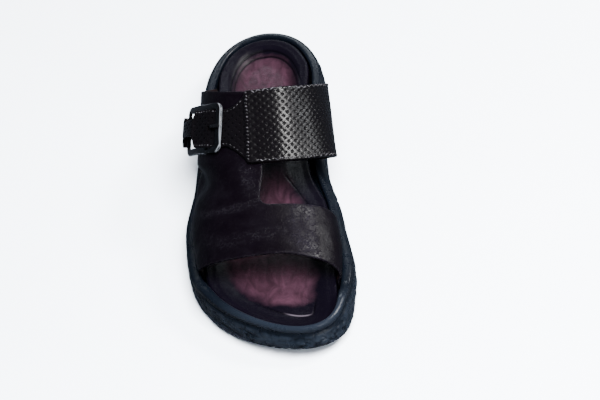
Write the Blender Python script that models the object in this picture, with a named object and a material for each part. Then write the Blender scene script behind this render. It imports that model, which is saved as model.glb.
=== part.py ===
"""Two-band slide sandal for the right foot.

A cup-shaped rubber outsole holds a moulded footbed. A groove runs round between the two, and the
leather bands go down into it: one piece makes the vamp and the lateral quarter, and the instep strap
crosses over the quarter and is closed by a pin buckle on the lateral side.

Metres, Z up, toe towards -Y, medial side towards +X, floor at Z = 0.
"""
import math

import bmesh
import bpy
import numpy as np
from mathutils import Vector
from mathutils.geometry import delaunay_2d_cdt


def table(columns, *rows):
    """Rows of values under named columns."""
    return tuple(dict(zip(columns, row)) for row in rows)


# Overall sizes
SHOE_LENGTH = 0.288
BALL_WIDTH = 0.109
FRAME_SHIFT = 0.0077

# Outsole
HEEL_RIM_HEIGHT = 0.029
TOE_STEP_RISE = 0.0062
TOE_STEP_MEDIAL = 0.874
TOE_STEP_LATERAL = 0.783
TOE_STEP_LENGTH = 0.026
TOE_SPRING = 0.0095
TOE_SPRING_START = 0.72
HEEL_ROLL = 0.0020
HEEL_ROLL_END = 0.055
ARCH_LIFT = 0.0030
ARCH_START = 0.36
ARCH_END = 0.56
RIM_WIDTH = 0.0074
LIP_HEIGHT = 0.0042
LIP_GROOVE = 0.0012
LIP_GROOVE_WIDTH = 0.0020
LIP_ROUND = 0.0030
RIM_EDGE = 0.0008
FOOT_ROUND = 0.0040
SIDE_LEAN = 0.0004
TOE_LEAN = 0.0034
HEEL_LEAN = 0.0016
TOE_LEAN_START = 0.80
HEEL_LEAN_END = 0.16
CUP_FLOOR = 0.0105
TREAD_EDGE = 0.0022
TREAD_DEPTH = 0.0022
TREAD_GROOVE = 0.0045
TREAD_BORDER = 0.010
HEEL_TREAD_START = 0.085
HEEL_TREAD_END = 0.34
HEEL_GROOVES = 4
FORE_TREAD_START = 0.57
FORE_TREAD_END = 0.80
FORE_GROOVES = 6

# Footbed
STRAP_GROOVE = 0.0036
SEAT_GAP = 0.0003
BED_DROP = 0.0012
HEEL_BED_DROP = 0.0004
BED_ROUND = 0.0012
BED_LIP = 0.0026
BED_LIP_DROP = 0.0008
HEEL_DISH = 0.0070
ARCH_SUPPORT = 0.0050
ARCH_SUPPORT_START = 0.22
ARCH_SUPPORT_END = 0.66
DISH_BORDER = 0.011

# Leather
UPPER_WALL = 0.0020
STRAP_WALL = 0.0020
SEAM_WALL = 0.0016
LAYER_GAP = 0.00045
TUCK_DEPTH = 0.0075
INSTEP_HEIGHT = 0.092
GIRTH = 0.170

# Instep strap and buckle
STRAP_WIDTH = 0.052
TAB_WIDTH = 0.025
STRAP_TWIST = 0.17
TWIST_END = 0.535
TWIST_REACH = 0.175
NECK_WIDTH = 0.012
TAIL_DROP = 0.0024
BUCKLE_AROUND = 0.285
BUCKLE_LENGTH = 0.0370
BUCKLE_WIDTH = 0.0380
BUCKLE_CORNER = 0.006
BAR_WIDTH = 0.0048
BAR_HEIGHT = 0.0030
ANCHOR_WALL = 0.0014
ANCHOR_WIDTH = 0.012
ANCHOR_FOOT = 0.009
PRONG_WIDTH = 0.0024
PRONG_HEIGHT = 0.0014
PRONG_HOLE_LENGTH = 0.0075
PRONG_HOLE_WIDTH = 0.0044
BUCKLE_ARCH = -0.0024
BAR_STANDOFF = 0.0032
FIT_GAP = 0.0003
BAR_REACH = 0.5 * (BUCKLE_LENGTH - BAR_WIDTH)
LATERAL_BAR = BUCKLE_AROUND - BAR_REACH / GIRTH
MEDIAL_BAR = BUCKLE_AROUND + BAR_REACH / GIRTH
PRONG_HOLE_END = BUCKLE_AROUND + 0.62 * BAR_REACH / GIRTH
PRONG_HOLE_START = PRONG_HOLE_END - PRONG_HOLE_LENGTH / GIRTH
QUARTER_TOP = UPPER_WALL + LAYER_GAP

# Outline of the sole, a row for each section. along: share of the length from the heel.
# half: half width, centre: middle line, both shares of BALL_WIDTH. rim: height of the rim on the
# side, share of HEEL_RIM_HEIGHT. dish: hollow of the footbed, share of HEEL_DISH.
SOLE_SECTIONS = table(
    ("along", "half", "centre", "rim", "dish"),
    (0.00, 0.419, -0.004, 1.00, 1.00),
    (0.12, 0.394, -0.009, 0.97, 1.00),
    (0.30, 0.394, -0.047, 0.88, 0.80),
    (0.48, 0.420, -0.083, 0.79, 0.45),
    (0.62, 0.488, -0.089, 0.74, 0.28),
    (0.74, 0.500, -0.065, 0.72, 0.30),
    (0.86, 0.456, -0.009, 0.72, 0.45),
    (1.00, 0.424, 0.145, 0.72, 0.50),
)
HEEL_ROUND = 0.202
HEEL_POWER = 2.02
TOE_ROUND = 0.212
TOE_POWER = 2.03

# Sections of the last, a row for each. along: where its ridge stands. lateral and medial: where
# its two feet stand in the groove, all shares of the length from the heel. height: ridge height,
# share of INSTEP_HEIGHT. ridge: ridge from the middle of the feet. lateral_bulge and
# medial_bulge: how far the widest points stand outside the feet, shares of BALL_WIDTH.
# lateral_waist and medial_waist: height of the widest points, shares of the ridge height.
# shoulder: 2 is a round shoulder, more is squarer.
LAST_SECTIONS = table(
    ("along", "lateral", "medial", "height", "ridge", "shoulder",
     "lateral_bulge", "medial_bulge", "lateral_waist", "medial_waist"),
    (0.380, 0.140, 0.140, 1.090, 0.03, 2.20, 0.030, 0.100, 0.52, 0.54),
    (0.440, 0.223, 0.225, 0.980, 0.03, 2.20, 0.035, 0.118, 0.53, 0.55),
    (0.520, 0.340, 0.335, 0.860, 0.03, 2.20, 0.035, 0.145, 0.55, 0.57),
    (0.600, 0.452, 0.445, 0.745, 0.03, 2.15, 0.024, 0.155, 0.56, 0.60),
    (0.700, 0.600, 0.627, 0.645, 0.03, 2.05, 0.000, 0.045, 0.52, 0.54),
    (0.816, 0.764, 0.845, 0.545, 0.03, 1.95, 0.002, 0.015, 0.50, 0.50),
    (0.860, 0.815, 0.900, 0.510, 0.03, 1.95, 0.002, 0.015, 0.50, 0.50),
)

# Cut of the vamp and quarter, corners in order. along: share of the length at the ridge.
# around: share of the way from the lateral foot over the ridge to the medial foot.
# round: corner radius in metres.
UPPER_CUT = table(
    ("along", "around", "round"),
    (0.816, 0.00, 0.000),
    (0.816, 0.25, 0.060),
    (0.826, 0.72, 0.060),
    (0.818, 1.00, 0.000),
    (0.730, 1.00, 0.000),
    (0.713, 0.78, 0.040),
    (0.700, 0.51, 0.010),
    (0.600, 0.485, 0.050),
    (0.440, 0.48, 0.006),
    (0.424, 0.34, 0.030),
    (0.405, 0.00, 0.000),
    (0.600, 0.00, 0.000),
    (0.615, 0.130, 0.008),
    (0.685, 0.125, 0.008),
    (0.705, 0.00, 0.000),
)

# Instep strap from the tail to its medial foot, a row for each station. around: as above.
# middle: its middle line, share of the length. base: the named width that the row follows, and
# width its share of it. lift: what the strap lies on there. seam: share of SEAM_WALL added.
STRAP_STATIONS = table(
    ("around", "middle", "base", "width", "lift", "seam"),
    (LATERAL_BAR - 0.029, 0.507, "tab", 0.80, "tail", 0.0),
    (LATERAL_BAR - 0.025, 0.507, "tab", 1.00, "tail", 0.0),
    (LATERAL_BAR - 0.018, 0.507, "tab", 1.00, "bar", 0.0),
    (LATERAL_BAR - 0.013, 0.507, "neck", 1.00, "bar", 0.0),
    (LATERAL_BAR + 0.015, 0.507, "neck", 1.00, "bar", 0.0),
    (LATERAL_BAR + 0.022, 0.507, "tab", 1.00, "bar", 0.0),
    (BUCKLE_AROUND - 0.007, 0.508, "tab", 1.00, "middle", 0.0),
    (MEDIAL_BAR - 0.034, 0.510, "tab", 1.00, "quarter", 0.0),
    (MEDIAL_BAR + 0.018, 0.514, "tab", 1.02, "quarter", 0.0),
    (0.448, 0.520, "strap", 0.86, "quarter", 0.0),
    (0.457, 0.521, "strap", 1.00, "quarter", 1.0),
    (0.477, 0.522, "strap", 1.00, "quarter", 0.5),
    (0.530, 0.524, "strap", 1.02, "quarter", 0.3),
    (0.640, 0.526, "strap", 1.06, "last", 0.2),
    (0.820, 0.527, "strap", 1.16, "last", 0.2),
    (1.000, 0.527, "strap", 1.26, "last", 0.0),
)

# Fineness of the solids
RIM_POINTS = 84
CAP_COLUMNS = 5
LAST_ROWS = 93
LAST_COLUMNS = 181
SECTION_SAMPLES = 40
UPPER_SPACING = 0.0068
STRAP_STEP = 0.030
STRETCH_PROBE = 0.01
BAR_SIDES = 8


def smooth_step(x):
    x = np.clip(x, 0.0, 1.0)
    return x * x * (3.0 - 2.0 * x)


def curve_value(table, column, at):
    """Value of a table column at a place along it, on a smooth curve that never overshoots."""
    xs = np.array([row["along"] for row in table])
    ys = np.array([row[column] for row in table])
    steps = np.diff(xs)
    slopes = np.diff(ys) / steps
    tangents = np.zeros(len(xs))
    for i in range(1, len(xs) - 1):
        if slopes[i - 1] * slopes[i] > 0:
            near = 2.0 * steps[i] + steps[i - 1]
            far = steps[i] + 2.0 * steps[i - 1]
            tangents[i] = (near + far) / (near / slopes[i - 1] + far / slopes[i])
    tangents[0] = slopes[0]
    tangents[-1] = slopes[-1]
    at = np.clip(np.asarray(at, dtype=float), xs[0], xs[-1])
    span = np.clip(np.searchsorted(xs, at, side="right") - 1, 0, len(xs) - 2)
    t = (at - xs[span]) / steps[span]
    start = (1 + 2 * t) * (1 - t) ** 2 * ys[span] + t * (1 - t) ** 2 * steps[span] * tangents[span]
    end = t * t * (3 - 2 * t) * ys[span + 1] - t * t * (1 - t) * steps[span] * tangents[span + 1]
    return start + end


def half_width(along):
    """Half width of the sole, with its rounded heel and toe."""
    heel = np.clip(1.0 - along / HEEL_ROUND, 0.0, 1.0) ** HEEL_POWER
    toe = np.clip(1.0 - (1.0 - along) / TOE_ROUND, 0.0, 1.0) ** TOE_POWER
    ends = (1.0 - heel) ** (1.0 / HEEL_POWER) * (1.0 - toe) ** (1.0 / TOE_POWER)
    return BALL_WIDTH * curve_value(SOLE_SECTIONS, "half", along) * ends


def outline(along, side):
    """Points of the sole's outline. side is +1 on the medial side and -1 on the lateral side."""
    x = BALL_WIDTH * curve_value(SOLE_SECTIONS, "centre", along) + side * half_width(along)
    return np.stack([x + FRAME_SHIFT, SHOE_LENGTH * (0.5 - along)], axis=-1)


def outline_inset(turn, inset):
    """Point of the outline moved inwards. turn runs once round from the heel, medial side first."""
    def at(t):
        along = 0.5 * (1.0 - np.cos(2.0 * math.pi * t))
        side = np.where(np.mod(t, 1.0) < 0.5, 1.0, -1.0)
        return outline(along, side)
    step = 0.002
    ahead = at(turn + step) - at(turn - step)
    ahead /= np.linalg.norm(ahead, axis=-1, keepdims=True)
    inward = np.stack([ahead[..., 1], -ahead[..., 0]], axis=-1)
    return at(turn) + inward * np.expand_dims(inset, -1)


def turn_of(along, side):
    turn = np.arccos(1.0 - 2.0 * along) / (2.0 * math.pi)
    return np.where(side > 0, turn, 1.0 - turn)


def along_of(turn):
    return 0.5 * (1.0 - np.cos(2.0 * math.pi * turn))


def side_rim_height(along):
    """Rim height without the toe bumper."""
    return HEEL_RIM_HEIGHT * curve_value(SOLE_SECTIONS, "rim", along)


def rim_height(along, side):
    """Rim height with the toe bumper, which begins just ahead of the vamp on either side."""
    place = np.where(side > 0, TOE_STEP_MEDIAL, TOE_STEP_LATERAL)
    step = smooth_step((along - place) / TOE_STEP_LENGTH + 0.5)
    return side_rim_height(along) + TOE_STEP_RISE * step


def toe_spring(along):
    return TOE_SPRING * np.clip((along - TOE_SPRING_START) / (1.0 - TOE_SPRING_START), 0, 1) ** 2


def tread_height(along):
    """Height of the underside: flat at heel and forefoot, lifted at the arch, heel and toe."""
    roll = HEEL_ROLL * np.clip(1.0 - along / HEEL_ROLL_END, 0.0, 1.0) ** 2
    reach = (ARCH_END - ARCH_START) / 3.0
    arch = smooth_step((along - ARCH_START) / reach) * smooth_step((ARCH_END - along) / reach)
    return toe_spring(along) + roll + ARCH_LIFT * arch


def wall_lean(along):
    """How far the top of the side wall stands inside its foot."""
    toe = smooth_step((along - TOE_LEAN_START) / (1.0 - TOE_LEAN_START))
    heel = smooth_step((HEEL_LEAN_END - along) / HEEL_LEAN_END)
    return SIDE_LEAN + TOE_LEAN * toe + HEEL_LEAN * heel


def cup_floor(along):
    return CUP_FLOOR + 0.4 * toe_spring(along)


def bed_edge_height(along):
    heel = smooth_step((HEEL_LEAN_END - along) / HEEL_LEAN_END)
    return side_rim_height(along) - BED_DROP - HEEL_BED_DROP * heel


def bed_height(along, across, width):
    """Top of the footbed inside its raised edge. across runs from -1 lateral to 1 medial."""
    side_way = (1.0 - abs(across)) * width
    end_way = SHOE_LENGTH * min(along, 1.0 - along)
    way = side_way * end_way / max(side_way + end_way, 1e-6)
    depth = HEEL_DISH * float(curve_value(SOLE_SECTIONS, "dish", along))
    hollow = depth * float(smooth_step(way / DISH_BORDER))
    reach = 0.4 * (ARCH_SUPPORT_END - ARCH_SUPPORT_START)
    waist = float(smooth_step((along - ARCH_SUPPORT_START) / reach))
    waist *= float(smooth_step((ARCH_SUPPORT_END - along) / reach))
    support = ARCH_SUPPORT * waist * float(smooth_step((across + 0.1) / 0.9))
    support *= float(smooth_step(way / DISH_BORDER))
    return float(bed_edge_height(along)) - hollow + support


def ring(bm, insets, heights):
    turns = np.arange(RIM_POINTS) / RIM_POINTS
    points = outline_inset(turns, insets)
    return [bm.verts.new((p[0], p[1], z)) for p, z in zip(points, heights)]


def bridge(bm, lower, upper):
    count = len(lower)
    for i in range(count):
        j = (i + 1) % count
        bm.faces.new((lower[i], lower[j], upper[j], upper[i]))


def cap(bm, edge, height, up):
    """Close a ring with rows of faces from the medial to the lateral side.

    height(along, across, half) gives the height inside the ring.
    """
    half_count = RIM_POINTS // 2
    rows = []
    for i in range(1, half_count):
        medial = edge[i]
        lateral = edge[RIM_POINTS - i]
        along = float(along_of(i / RIM_POINTS))
        half = 0.5 * (medial.co - lateral.co).length
        row = [lateral]
        for k in range(1, CAP_COLUMNS + 1):
            share = k / (CAP_COLUMNS + 1)
            point = lateral.co.lerp(medial.co, share)
            point.z = height(along, 2.0 * share - 1.0, half)
            row.append(bm.verts.new(point))
        row.append(medial)
        rows.append(row)
    faces = []
    for a, b in zip(rows, rows[1:]):
        for k in range(CAP_COLUMNS + 1):
            faces.append((a[k], a[k + 1], b[k + 1], b[k]))
    for tip, row, first in ((edge[0], rows[0], True), (edge[half_count], rows[-1], False)):
        for k in range(CAP_COLUMNS + 1):
            faces.append((tip, row[k + 1], row[k]) if first else (tip, row[k], row[k + 1]))
    for corners in faces:
        bm.faces.new(corners if up else tuple(reversed(corners)))


def make_material(name, colour, roughness, metallic=0.0):
    material = bpy.data.materials.new(name)
    material.use_nodes = True
    shader = material.node_tree.nodes["Principled BSDF"]
    shader.inputs["Base Color"].default_value = (*colour, 1.0)
    shader.inputs["Roughness"].default_value = roughness
    shader.inputs["Metallic"].default_value = metallic
    return material


def add_object(name, bm, material):
    bmesh.ops.recalc_face_normals(bm, faces=bm.faces)
    mesh = bpy.data.meshes.new(name)
    bm.to_mesh(mesh)
    bm.free()
    mesh.shade_smooth()
    mesh.set_sharp_from_angle(angle=math.radians(40))
    mesh.materials.append(material)
    obj = bpy.data.objects.new(name, mesh)
    bpy.context.scene.collection.objects.link(obj)
    return obj


def add_box(bm, centre, size):
    made = bmesh.ops.create_cube(bm, size=1.0)
    for vert in made["verts"]:
        vert.co = Vector([middle + width * c for middle, width, c in zip(centre, size, vert.co)])


def tread_cutter():
    """Bars that cut the cross grooves of heel and forefoot."""
    bm = bmesh.new()
    zones = ((HEEL_TREAD_START, HEEL_TREAD_END, HEEL_GROOVES),
             (FORE_TREAD_START, FORE_TREAD_END, FORE_GROOVES))
    for start, end, count in zones:
        for i in range(count):
            along = start + (end - start) * i / (count - 1)
            lateral = outline(along, -1.0)
            medial = outline(along, 1.0)
            centre = 0.5 * (lateral + medial)
            length = medial[0] - lateral[0] - 2.0 * TREAD_BORDER
            depth = 2.0 * TREAD_DEPTH
            height = float(tread_height(along))
            add_box(bm, (centre[0], centre[1], height), (length, TREAD_GROOVE, depth))
    cutter = add_object("tread_cutter", bm, make_material("cutter", (1.0, 0.2, 0.2), 0.5))
    cutter.hide_render = True
    cutter.display_type = "WIRE"
    return cutter


def make_outsole():
    bm = bmesh.new()
    turns = np.arange(RIM_POINTS) / RIM_POINTS
    along = along_of(turns)
    tread = tread_height(along)
    rim = rim_height(along, np.where(turns < 0.5, 1.0, -1.0))
    lean = wall_lean(along)
    shoulder = rim - LIP_HEIGHT
    wall = shoulder - tread
    flat = np.zeros(RIM_POINTS)
    groove_half = 0.5 * LIP_GROOVE_WIDTH
    rows = (
        (TREAD_EDGE + 0.3 * lean, tread),
        (flat + 0.3 * TREAD_EDGE, tread + 0.4 * FOOT_ROUND),
        (flat, tread + FOOT_ROUND),
        (0.25 * lean, tread + 0.55 * wall),
        (lean, shoulder - groove_half),
        (lean + LIP_GROOVE, shoulder),
        (lean + 0.4 * LIP_GROOVE, shoulder + groove_half),
        (lean + 0.3 * LIP_GROOVE, rim - 0.5 * LIP_ROUND),
        (lean + 0.55 * LIP_ROUND, rim - 0.1 * LIP_ROUND),
        (lean + LIP_ROUND, rim),
        (flat + RIM_WIDTH - RIM_EDGE, rim),
        (flat + RIM_WIDTH, rim - RIM_EDGE),
        (flat + RIM_WIDTH, cup_floor(along)),
    )
    rings = [ring(bm, inset, height) for inset, height in rows]
    for lower, upper in zip(rings, rings[1:]):
        bridge(bm, lower, upper)
    cap(bm, rings[0], lambda u, across, half: float(tread_height(u)), up=False)
    cap(bm, rings[-1], lambda u, across, half: float(cup_floor(u)), up=True)
    outsole = add_object("outsole", bm, make_material("black_rubber", (0.012, 0.016, 0.020), 0.55))
    cut = outsole.modifiers.new("tread", "BOOLEAN")
    cut.operation = "DIFFERENCE"
    cut.solver = "EXACT"
    cut.object = tread_cutter()
    return outsole


def make_footbed():
    bm = bmesh.new()
    turns = np.arange(RIM_POINTS) / RIM_POINTS
    along = along_of(turns)
    side = RIM_WIDTH + STRAP_GROOVE
    edge = bed_edge_height(along)
    floor = cup_floor(along) + SEAT_GAP
    flat = np.zeros(RIM_POINTS)
    rows = (
        (flat + side, floor),
        (flat + side, edge - BED_ROUND),
        (flat + side + 0.4 * BED_ROUND, edge - 0.25 * BED_ROUND),
        (flat + side + 1.2 * BED_ROUND, edge),
        (flat + side + BED_LIP, edge - 0.25 * BED_LIP_DROP),
        (flat + side + 2.0 * BED_LIP, edge - BED_LIP_DROP),
    )
    rings = [ring(bm, inset, height) for inset, height in rows]
    for lower, upper in zip(rings, rings[1:]):
        bridge(bm, lower, upper)
    cap(bm, rings[0], lambda u, across, half: float(cup_floor(u)) + SEAT_GAP, up=False)
    cap(bm, rings[-1], lambda u, across, half: bed_height(u, across, half) - BED_LIP_DROP, up=True)
    return add_object("footbed", bm, make_material("brown_leather", (0.060, 0.018, 0.022), 0.35))


def section_curve(lateral_foot, medial_foot, ridge, waists, rims, shoulder):
    """One section of the last as points from the lateral foot over the ridge to the medial foot."""
    halves = []
    for foot, waist, rim in zip((lateral_foot, medial_foot), waists, rims):
        t = np.linspace(0.0, 1.0, SECTION_SAMPLES)
        stem_z = foot[2] + (rim - foot[2]) * t
        stem_x = np.full(SECTION_SAMPLES, foot[0])
        side_z = rim + (waist[1] - rim) * t
        side_x = foot[0] + (waist[0] - foot[0]) * smooth_step(t)
        angle = 0.5 * math.pi * t
        power = 2.0 / shoulder
        top_x = ridge[0] + (waist[0] - ridge[0]) * np.cos(angle) ** power
        top_z = waist[1] + (ridge[2] - waist[1]) * np.sin(angle) ** power
        x = np.concatenate([stem_x, side_x[1:], top_x[1:]])
        z = np.concatenate([stem_z, side_z[1:], top_z[1:]])
        rise = np.clip((z - rim) / (ridge[2] - rim), 0.0, 1.0)
        y = foot[1] + (ridge[1] - foot[1]) * rise
        halves.append(np.stack([x, y, z], axis=-1))
    return np.concatenate([halves[0], halves[1][::-1][1:]])


class Last:
    """Surface that the bands are laid on, with its outward direction."""

    def __init__(self):
        self.start = LAST_SECTIONS[0]["along"]
        self.end = LAST_SECTIONS[-1]["along"]
        alongs = np.linspace(self.start, self.end, LAST_ROWS)
        self.points = np.array([self.section(a) for a in alongs])
        along_way = np.gradient(self.points, axis=0)
        around_way = np.gradient(self.points, axis=1)
        normals = np.cross(along_way, around_way)
        normals /= np.linalg.norm(normals, axis=-1, keepdims=True)
        if normals[LAST_ROWS // 2, LAST_COLUMNS // 2, 2] < 0:
            normals = -normals
        self.normals = normals

    def section(self, along):
        def value(column):
            return float(curve_value(LAST_SECTIONS, column, along))
        feet = []
        rims = []
        for column, side in (("lateral", -1.0), ("medial", 1.0)):
            place = value(column)
            turn = turn_of(place, side)
            flat = outline_inset(turn, np.asarray(RIM_WIDTH + 0.5 * STRAP_GROOVE))
            rim = float(side_rim_height(place))
            feet.append(np.array([flat[0], flat[1], rim - TUCK_DEPTH]))
            rims.append(rim + 0.0005)
        height = INSTEP_HEIGHT * value("height")
        middle = 0.5 * (feet[0][0] + feet[1][0])
        ridge = np.array([middle + BALL_WIDTH * value("ridge"), SHOE_LENGTH * (0.5 - along), height])
        waists = (
            (feet[0][0] - BALL_WIDTH * value("lateral_bulge"), height * value("lateral_waist")),
            (feet[1][0] + BALL_WIDTH * value("medial_bulge"), height * value("medial_waist")),
        )
        curve = section_curve(feet[0], feet[1], ridge, waists, rims, value("shoulder"))
        steps = np.linalg.norm(np.diff(curve, axis=0), axis=1)
        way = np.concatenate([[0.0], np.cumsum(steps)])
        even = np.linspace(0.0, way[-1], LAST_COLUMNS)
        return np.stack([np.interp(even, way, curve[:, k]) for k in range(3)], axis=-1)

    def skin(self, along, around, lift):
        """Point at a height above the last, between its four nearest grid points."""
        i = np.clip((along - self.start) / (self.end - self.start), 0, 1) * (LAST_ROWS - 1)
        j = np.clip(around, 0, 1) * (LAST_COLUMNS - 1)
        i0 = np.minimum(i.astype(int), LAST_ROWS - 2)
        j0 = np.minimum(j.astype(int), LAST_COLUMNS - 2)
        s = (i - i0)[..., None]
        t = (j - j0)[..., None]
        found = []
        for grid in (self.points, self.normals):
            near = grid[i0, j0] * (1 - t) + grid[i0, j0 + 1] * t
            far = grid[i0 + 1, j0] * (1 - t) + grid[i0 + 1, j0 + 1] * t
            found.append(near * (1 - s) + far * s)
        normal = found[1] / np.linalg.norm(found[1], axis=-1, keepdims=True)
        return found[0] + normal * np.expand_dims(lift, -1)


def rounded_cut(corners, spacing):
    """Outline of a flat cut in metres: around across, along up, with its corners rounded."""
    points = [np.array([c["around"] * GIRTH, c["along"] * SHOE_LENGTH]) for c in corners]
    count = len(points)
    path = []
    for i, corner in enumerate(corners):
        before = points[i - 1] - points[i]
        after = points[(i + 1) % count] - points[i]
        if corner["round"] == 0.0:
            path.append(points[i])
            continue
        before_way = before / np.linalg.norm(before)
        after_way = after / np.linalg.norm(after)
        half = 0.5 * math.acos(float(np.clip(before_way @ after_way, -1.0, 1.0)))
        reach = min(corner["round"] / math.tan(half), 0.48 * np.linalg.norm(before),
                    0.48 * np.linalg.norm(after))
        start = points[i] + before_way * reach
        end = points[i] + after_way * reach
        turn = math.pi - 2.0 * half
        pieces = max(3, int(round(turn * reach * math.tan(half) / spacing)))
        for k in range(pieces + 1):
            t = k / pieces
            bend = (1 - t) ** 2 * start + 2 * t * (1 - t) * points[i] + t * t * end
            path.append(bend)
    return path


def resample(path, spacing):
    """Closed outline with its long edges split."""
    out = []
    for a, b in zip(path, path[1:] + path[:1]):
        pieces = max(1, int(round(np.linalg.norm(b - a) / spacing)))
        out.extend(a + (b - a) * k / pieces for k in range(pieces))
    return out


def flat_sheet(path, spacing):
    """Triangles that fill a flat outline, on even rows of inner points."""
    outline_points = resample(path, spacing)
    loop = np.array(outline_points)
    following = np.roll(loop, -1, axis=0)
    low = loop.min(axis=0)
    high = loop.max(axis=0)
    inner = []
    row_height = spacing * 0.866
    rows = int((high[1] - low[1]) / row_height)
    for r in range(1, rows + 1):
        y = low[1] + r * row_height
        shift = 0.5 * spacing * (r % 2)
        for c in range(1, int((high[0] - low[0]) / spacing) + 1):
            point = np.array([low[0] + c * spacing - shift, y])
            edge = following - loop
            reach = np.clip(((point - loop) * edge).sum(1) / (edge ** 2).sum(1), 0, 1)
            gap = np.linalg.norm(loop + edge * reach[:, None] - point, axis=1).min()
            crosses = (loop[:, 1] > y) != (following[:, 1] > y)
            rise = following[:, 1] - loop[:, 1]
            rise = np.where(np.abs(rise) < 1e-12, 1e-12, rise)
            cut_x = loop[:, 0] + (y - loop[:, 1]) / rise * edge[:, 0]
            inside = np.count_nonzero(crosses & (cut_x > point[0])) % 2 == 1
            if inside and gap > 0.55 * spacing:
                inner.append(point)
    coords = [Vector(p) for p in outline_points] + [Vector(p) for p in inner]
    count = len(outline_points)
    edges = [(i, (i + 1) % count) for i in range(count)]
    verts, _, faces, _, _, _ = delaunay_2d_cdt(coords, edges, [], 1, 1e-7)
    flat = np.array([[v.x, v.y] for v in verts])
    return flat, [tuple(f) for f in faces]


def leather_solid(bm, floor, roof, faces):
    """Closed sheet between two layers of the same triangles."""
    low = [bm.verts.new(p) for p in floor]
    high = [bm.verts.new(p) for p in roof]
    borders = {}
    for face in faces:
        bm.faces.new([high[i] for i in face])
        bm.faces.new([low[i] for i in reversed(face)])
        for a, b in zip(face, face[1:] + face[:1]):
            if (b, a) in borders:
                del borders[(b, a)]
            else:
                borders[(a, b)] = True
    for a, b in borders:
        bm.faces.new((high[b], high[a], low[a], low[b]))


def make_upper(last):
    bm = bmesh.new()
    flat, faces = flat_sheet(rounded_cut(UPPER_CUT, UPPER_SPACING), UPPER_SPACING)
    around = flat[:, 0] / GIRTH
    along = flat[:, 1] / SHOE_LENGTH
    half = 0.5 * UPPER_WALL * foot_share(around)
    floor = last.skin(along, around, -half)
    roof = last.skin(along, around, UPPER_WALL - half)
    leather_solid(bm, floor, roof, faces)
    return add_object("upper", bm, make_material("vamp_leather", (0.022, 0.010, 0.011), 0.40))


def foot_share(around):
    """1 at the feet, where a band stands in the middle of its groove, and 0 on the last."""
    tuck = (TUCK_DEPTH + 0.001) / GIRTH
    near = np.minimum(around, 1.0 - around)
    return 1.0 - smooth_step((near - tuck) / 0.08)


def strap_values(around):
    """Width, floor height and wall of the instep strap at a place around."""
    bar = QUARTER_TOP + BAR_STANDOFF + 2.0 * ANCHOR_WALL + BAR_HEIGHT + 3.0 * FIT_GAP
    lifts = {"last": 0.0, "quarter": QUARTER_TOP, "bar": bar, "tail": bar - TAIL_DROP,
             "middle": 0.5 * (bar + QUARTER_TOP)}
    widths = {"tab": TAB_WIDTH, "neck": NECK_WIDTH, "strap": STRAP_WIDTH}
    places = [row["around"] for row in STRAP_STATIONS]
    width = np.interp(around, places, [widths[r["base"]] * r["width"] for r in STRAP_STATIONS])
    lift_table = [{"along": r["around"], "lift": lifts[r["lift"]]} for r in STRAP_STATIONS]
    lift = curve_value(lift_table, "lift", around)
    seam = np.interp(around, places, [r["seam"] for r in STRAP_STATIONS])
    return width, lift, STRAP_WALL + SEAM_WALL * seam


def strap_rows():
    """Places around at which the strap's rows stand: each station, the hole and steps between."""
    places = sorted([row["around"] for row in STRAP_STATIONS] + [PRONG_HOLE_START, PRONG_HOLE_END])
    rows = []
    for a, b in zip(places, places[1:]):
        pieces = max(1, int(math.ceil((b - a) / STRAP_STEP)))
        rows.extend(a + (b - a) * k / pieces for k in range(pieces))
    return rows + [places[-1]]


def strap_point(last, around, across, lift):
    """Point of the strap. across runs in metres towards the toe from the strap's middle line."""
    middle_table = [{"along": r["around"], "middle": r["middle"]} for r in STRAP_STATIONS]
    middle = curve_value(middle_table, "middle", around)
    stretch = (last.skin(middle + STRETCH_PROBE, around, lift)
               - last.skin(middle - STRETCH_PROBE, around, lift))
    scale = np.linalg.norm(stretch, axis=-1) / (2.0 * STRETCH_PROBE)
    twist = STRAP_TWIST * smooth_step((TWIST_END - around) / TWIST_REACH)
    return last.skin(middle + across / scale, around - twist * across / GIRTH, lift)


def strip_solid(bm, low, high, is_hole):
    """Closed strip from two grids of points, columns of rows, with cells left out as holes."""
    floor = [[bm.verts.new(p) for p in line] for line in low]
    roof = [[bm.verts.new(p) for p in line] for line in high]
    cells = [(c, r) for c in range(len(low) - 1) for r in range(len(low[0]) - 1) if not is_hole(c, r)]
    kept = set(cells)
    for c, r in cells:
        bm.faces.new((roof[c][r], roof[c + 1][r], roof[c + 1][r + 1], roof[c][r + 1]))
        bm.faces.new((floor[c][r], floor[c][r + 1], floor[c + 1][r + 1], floor[c + 1][r]))
        borders = (((c - 1, r), (c, r), (c, r + 1)), ((c + 1, r), (c + 1, r + 1), (c + 1, r)),
                   ((c, r - 1), (c + 1, r), (c, r)), ((c, r + 1), (c, r + 1), (c + 1, r + 1)))
        for beyond, a, b in borders:
            if beyond not in kept:
                bm.faces.new((floor[a[0]][a[1]], floor[b[0]][b[1]], roof[b[0]][b[1]], roof[a[0]][a[1]]))
    loose = [v for v in bm.verts if not v.link_faces]
    bmesh.ops.delete(bm, geom=loose, context="VERTS")


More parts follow.
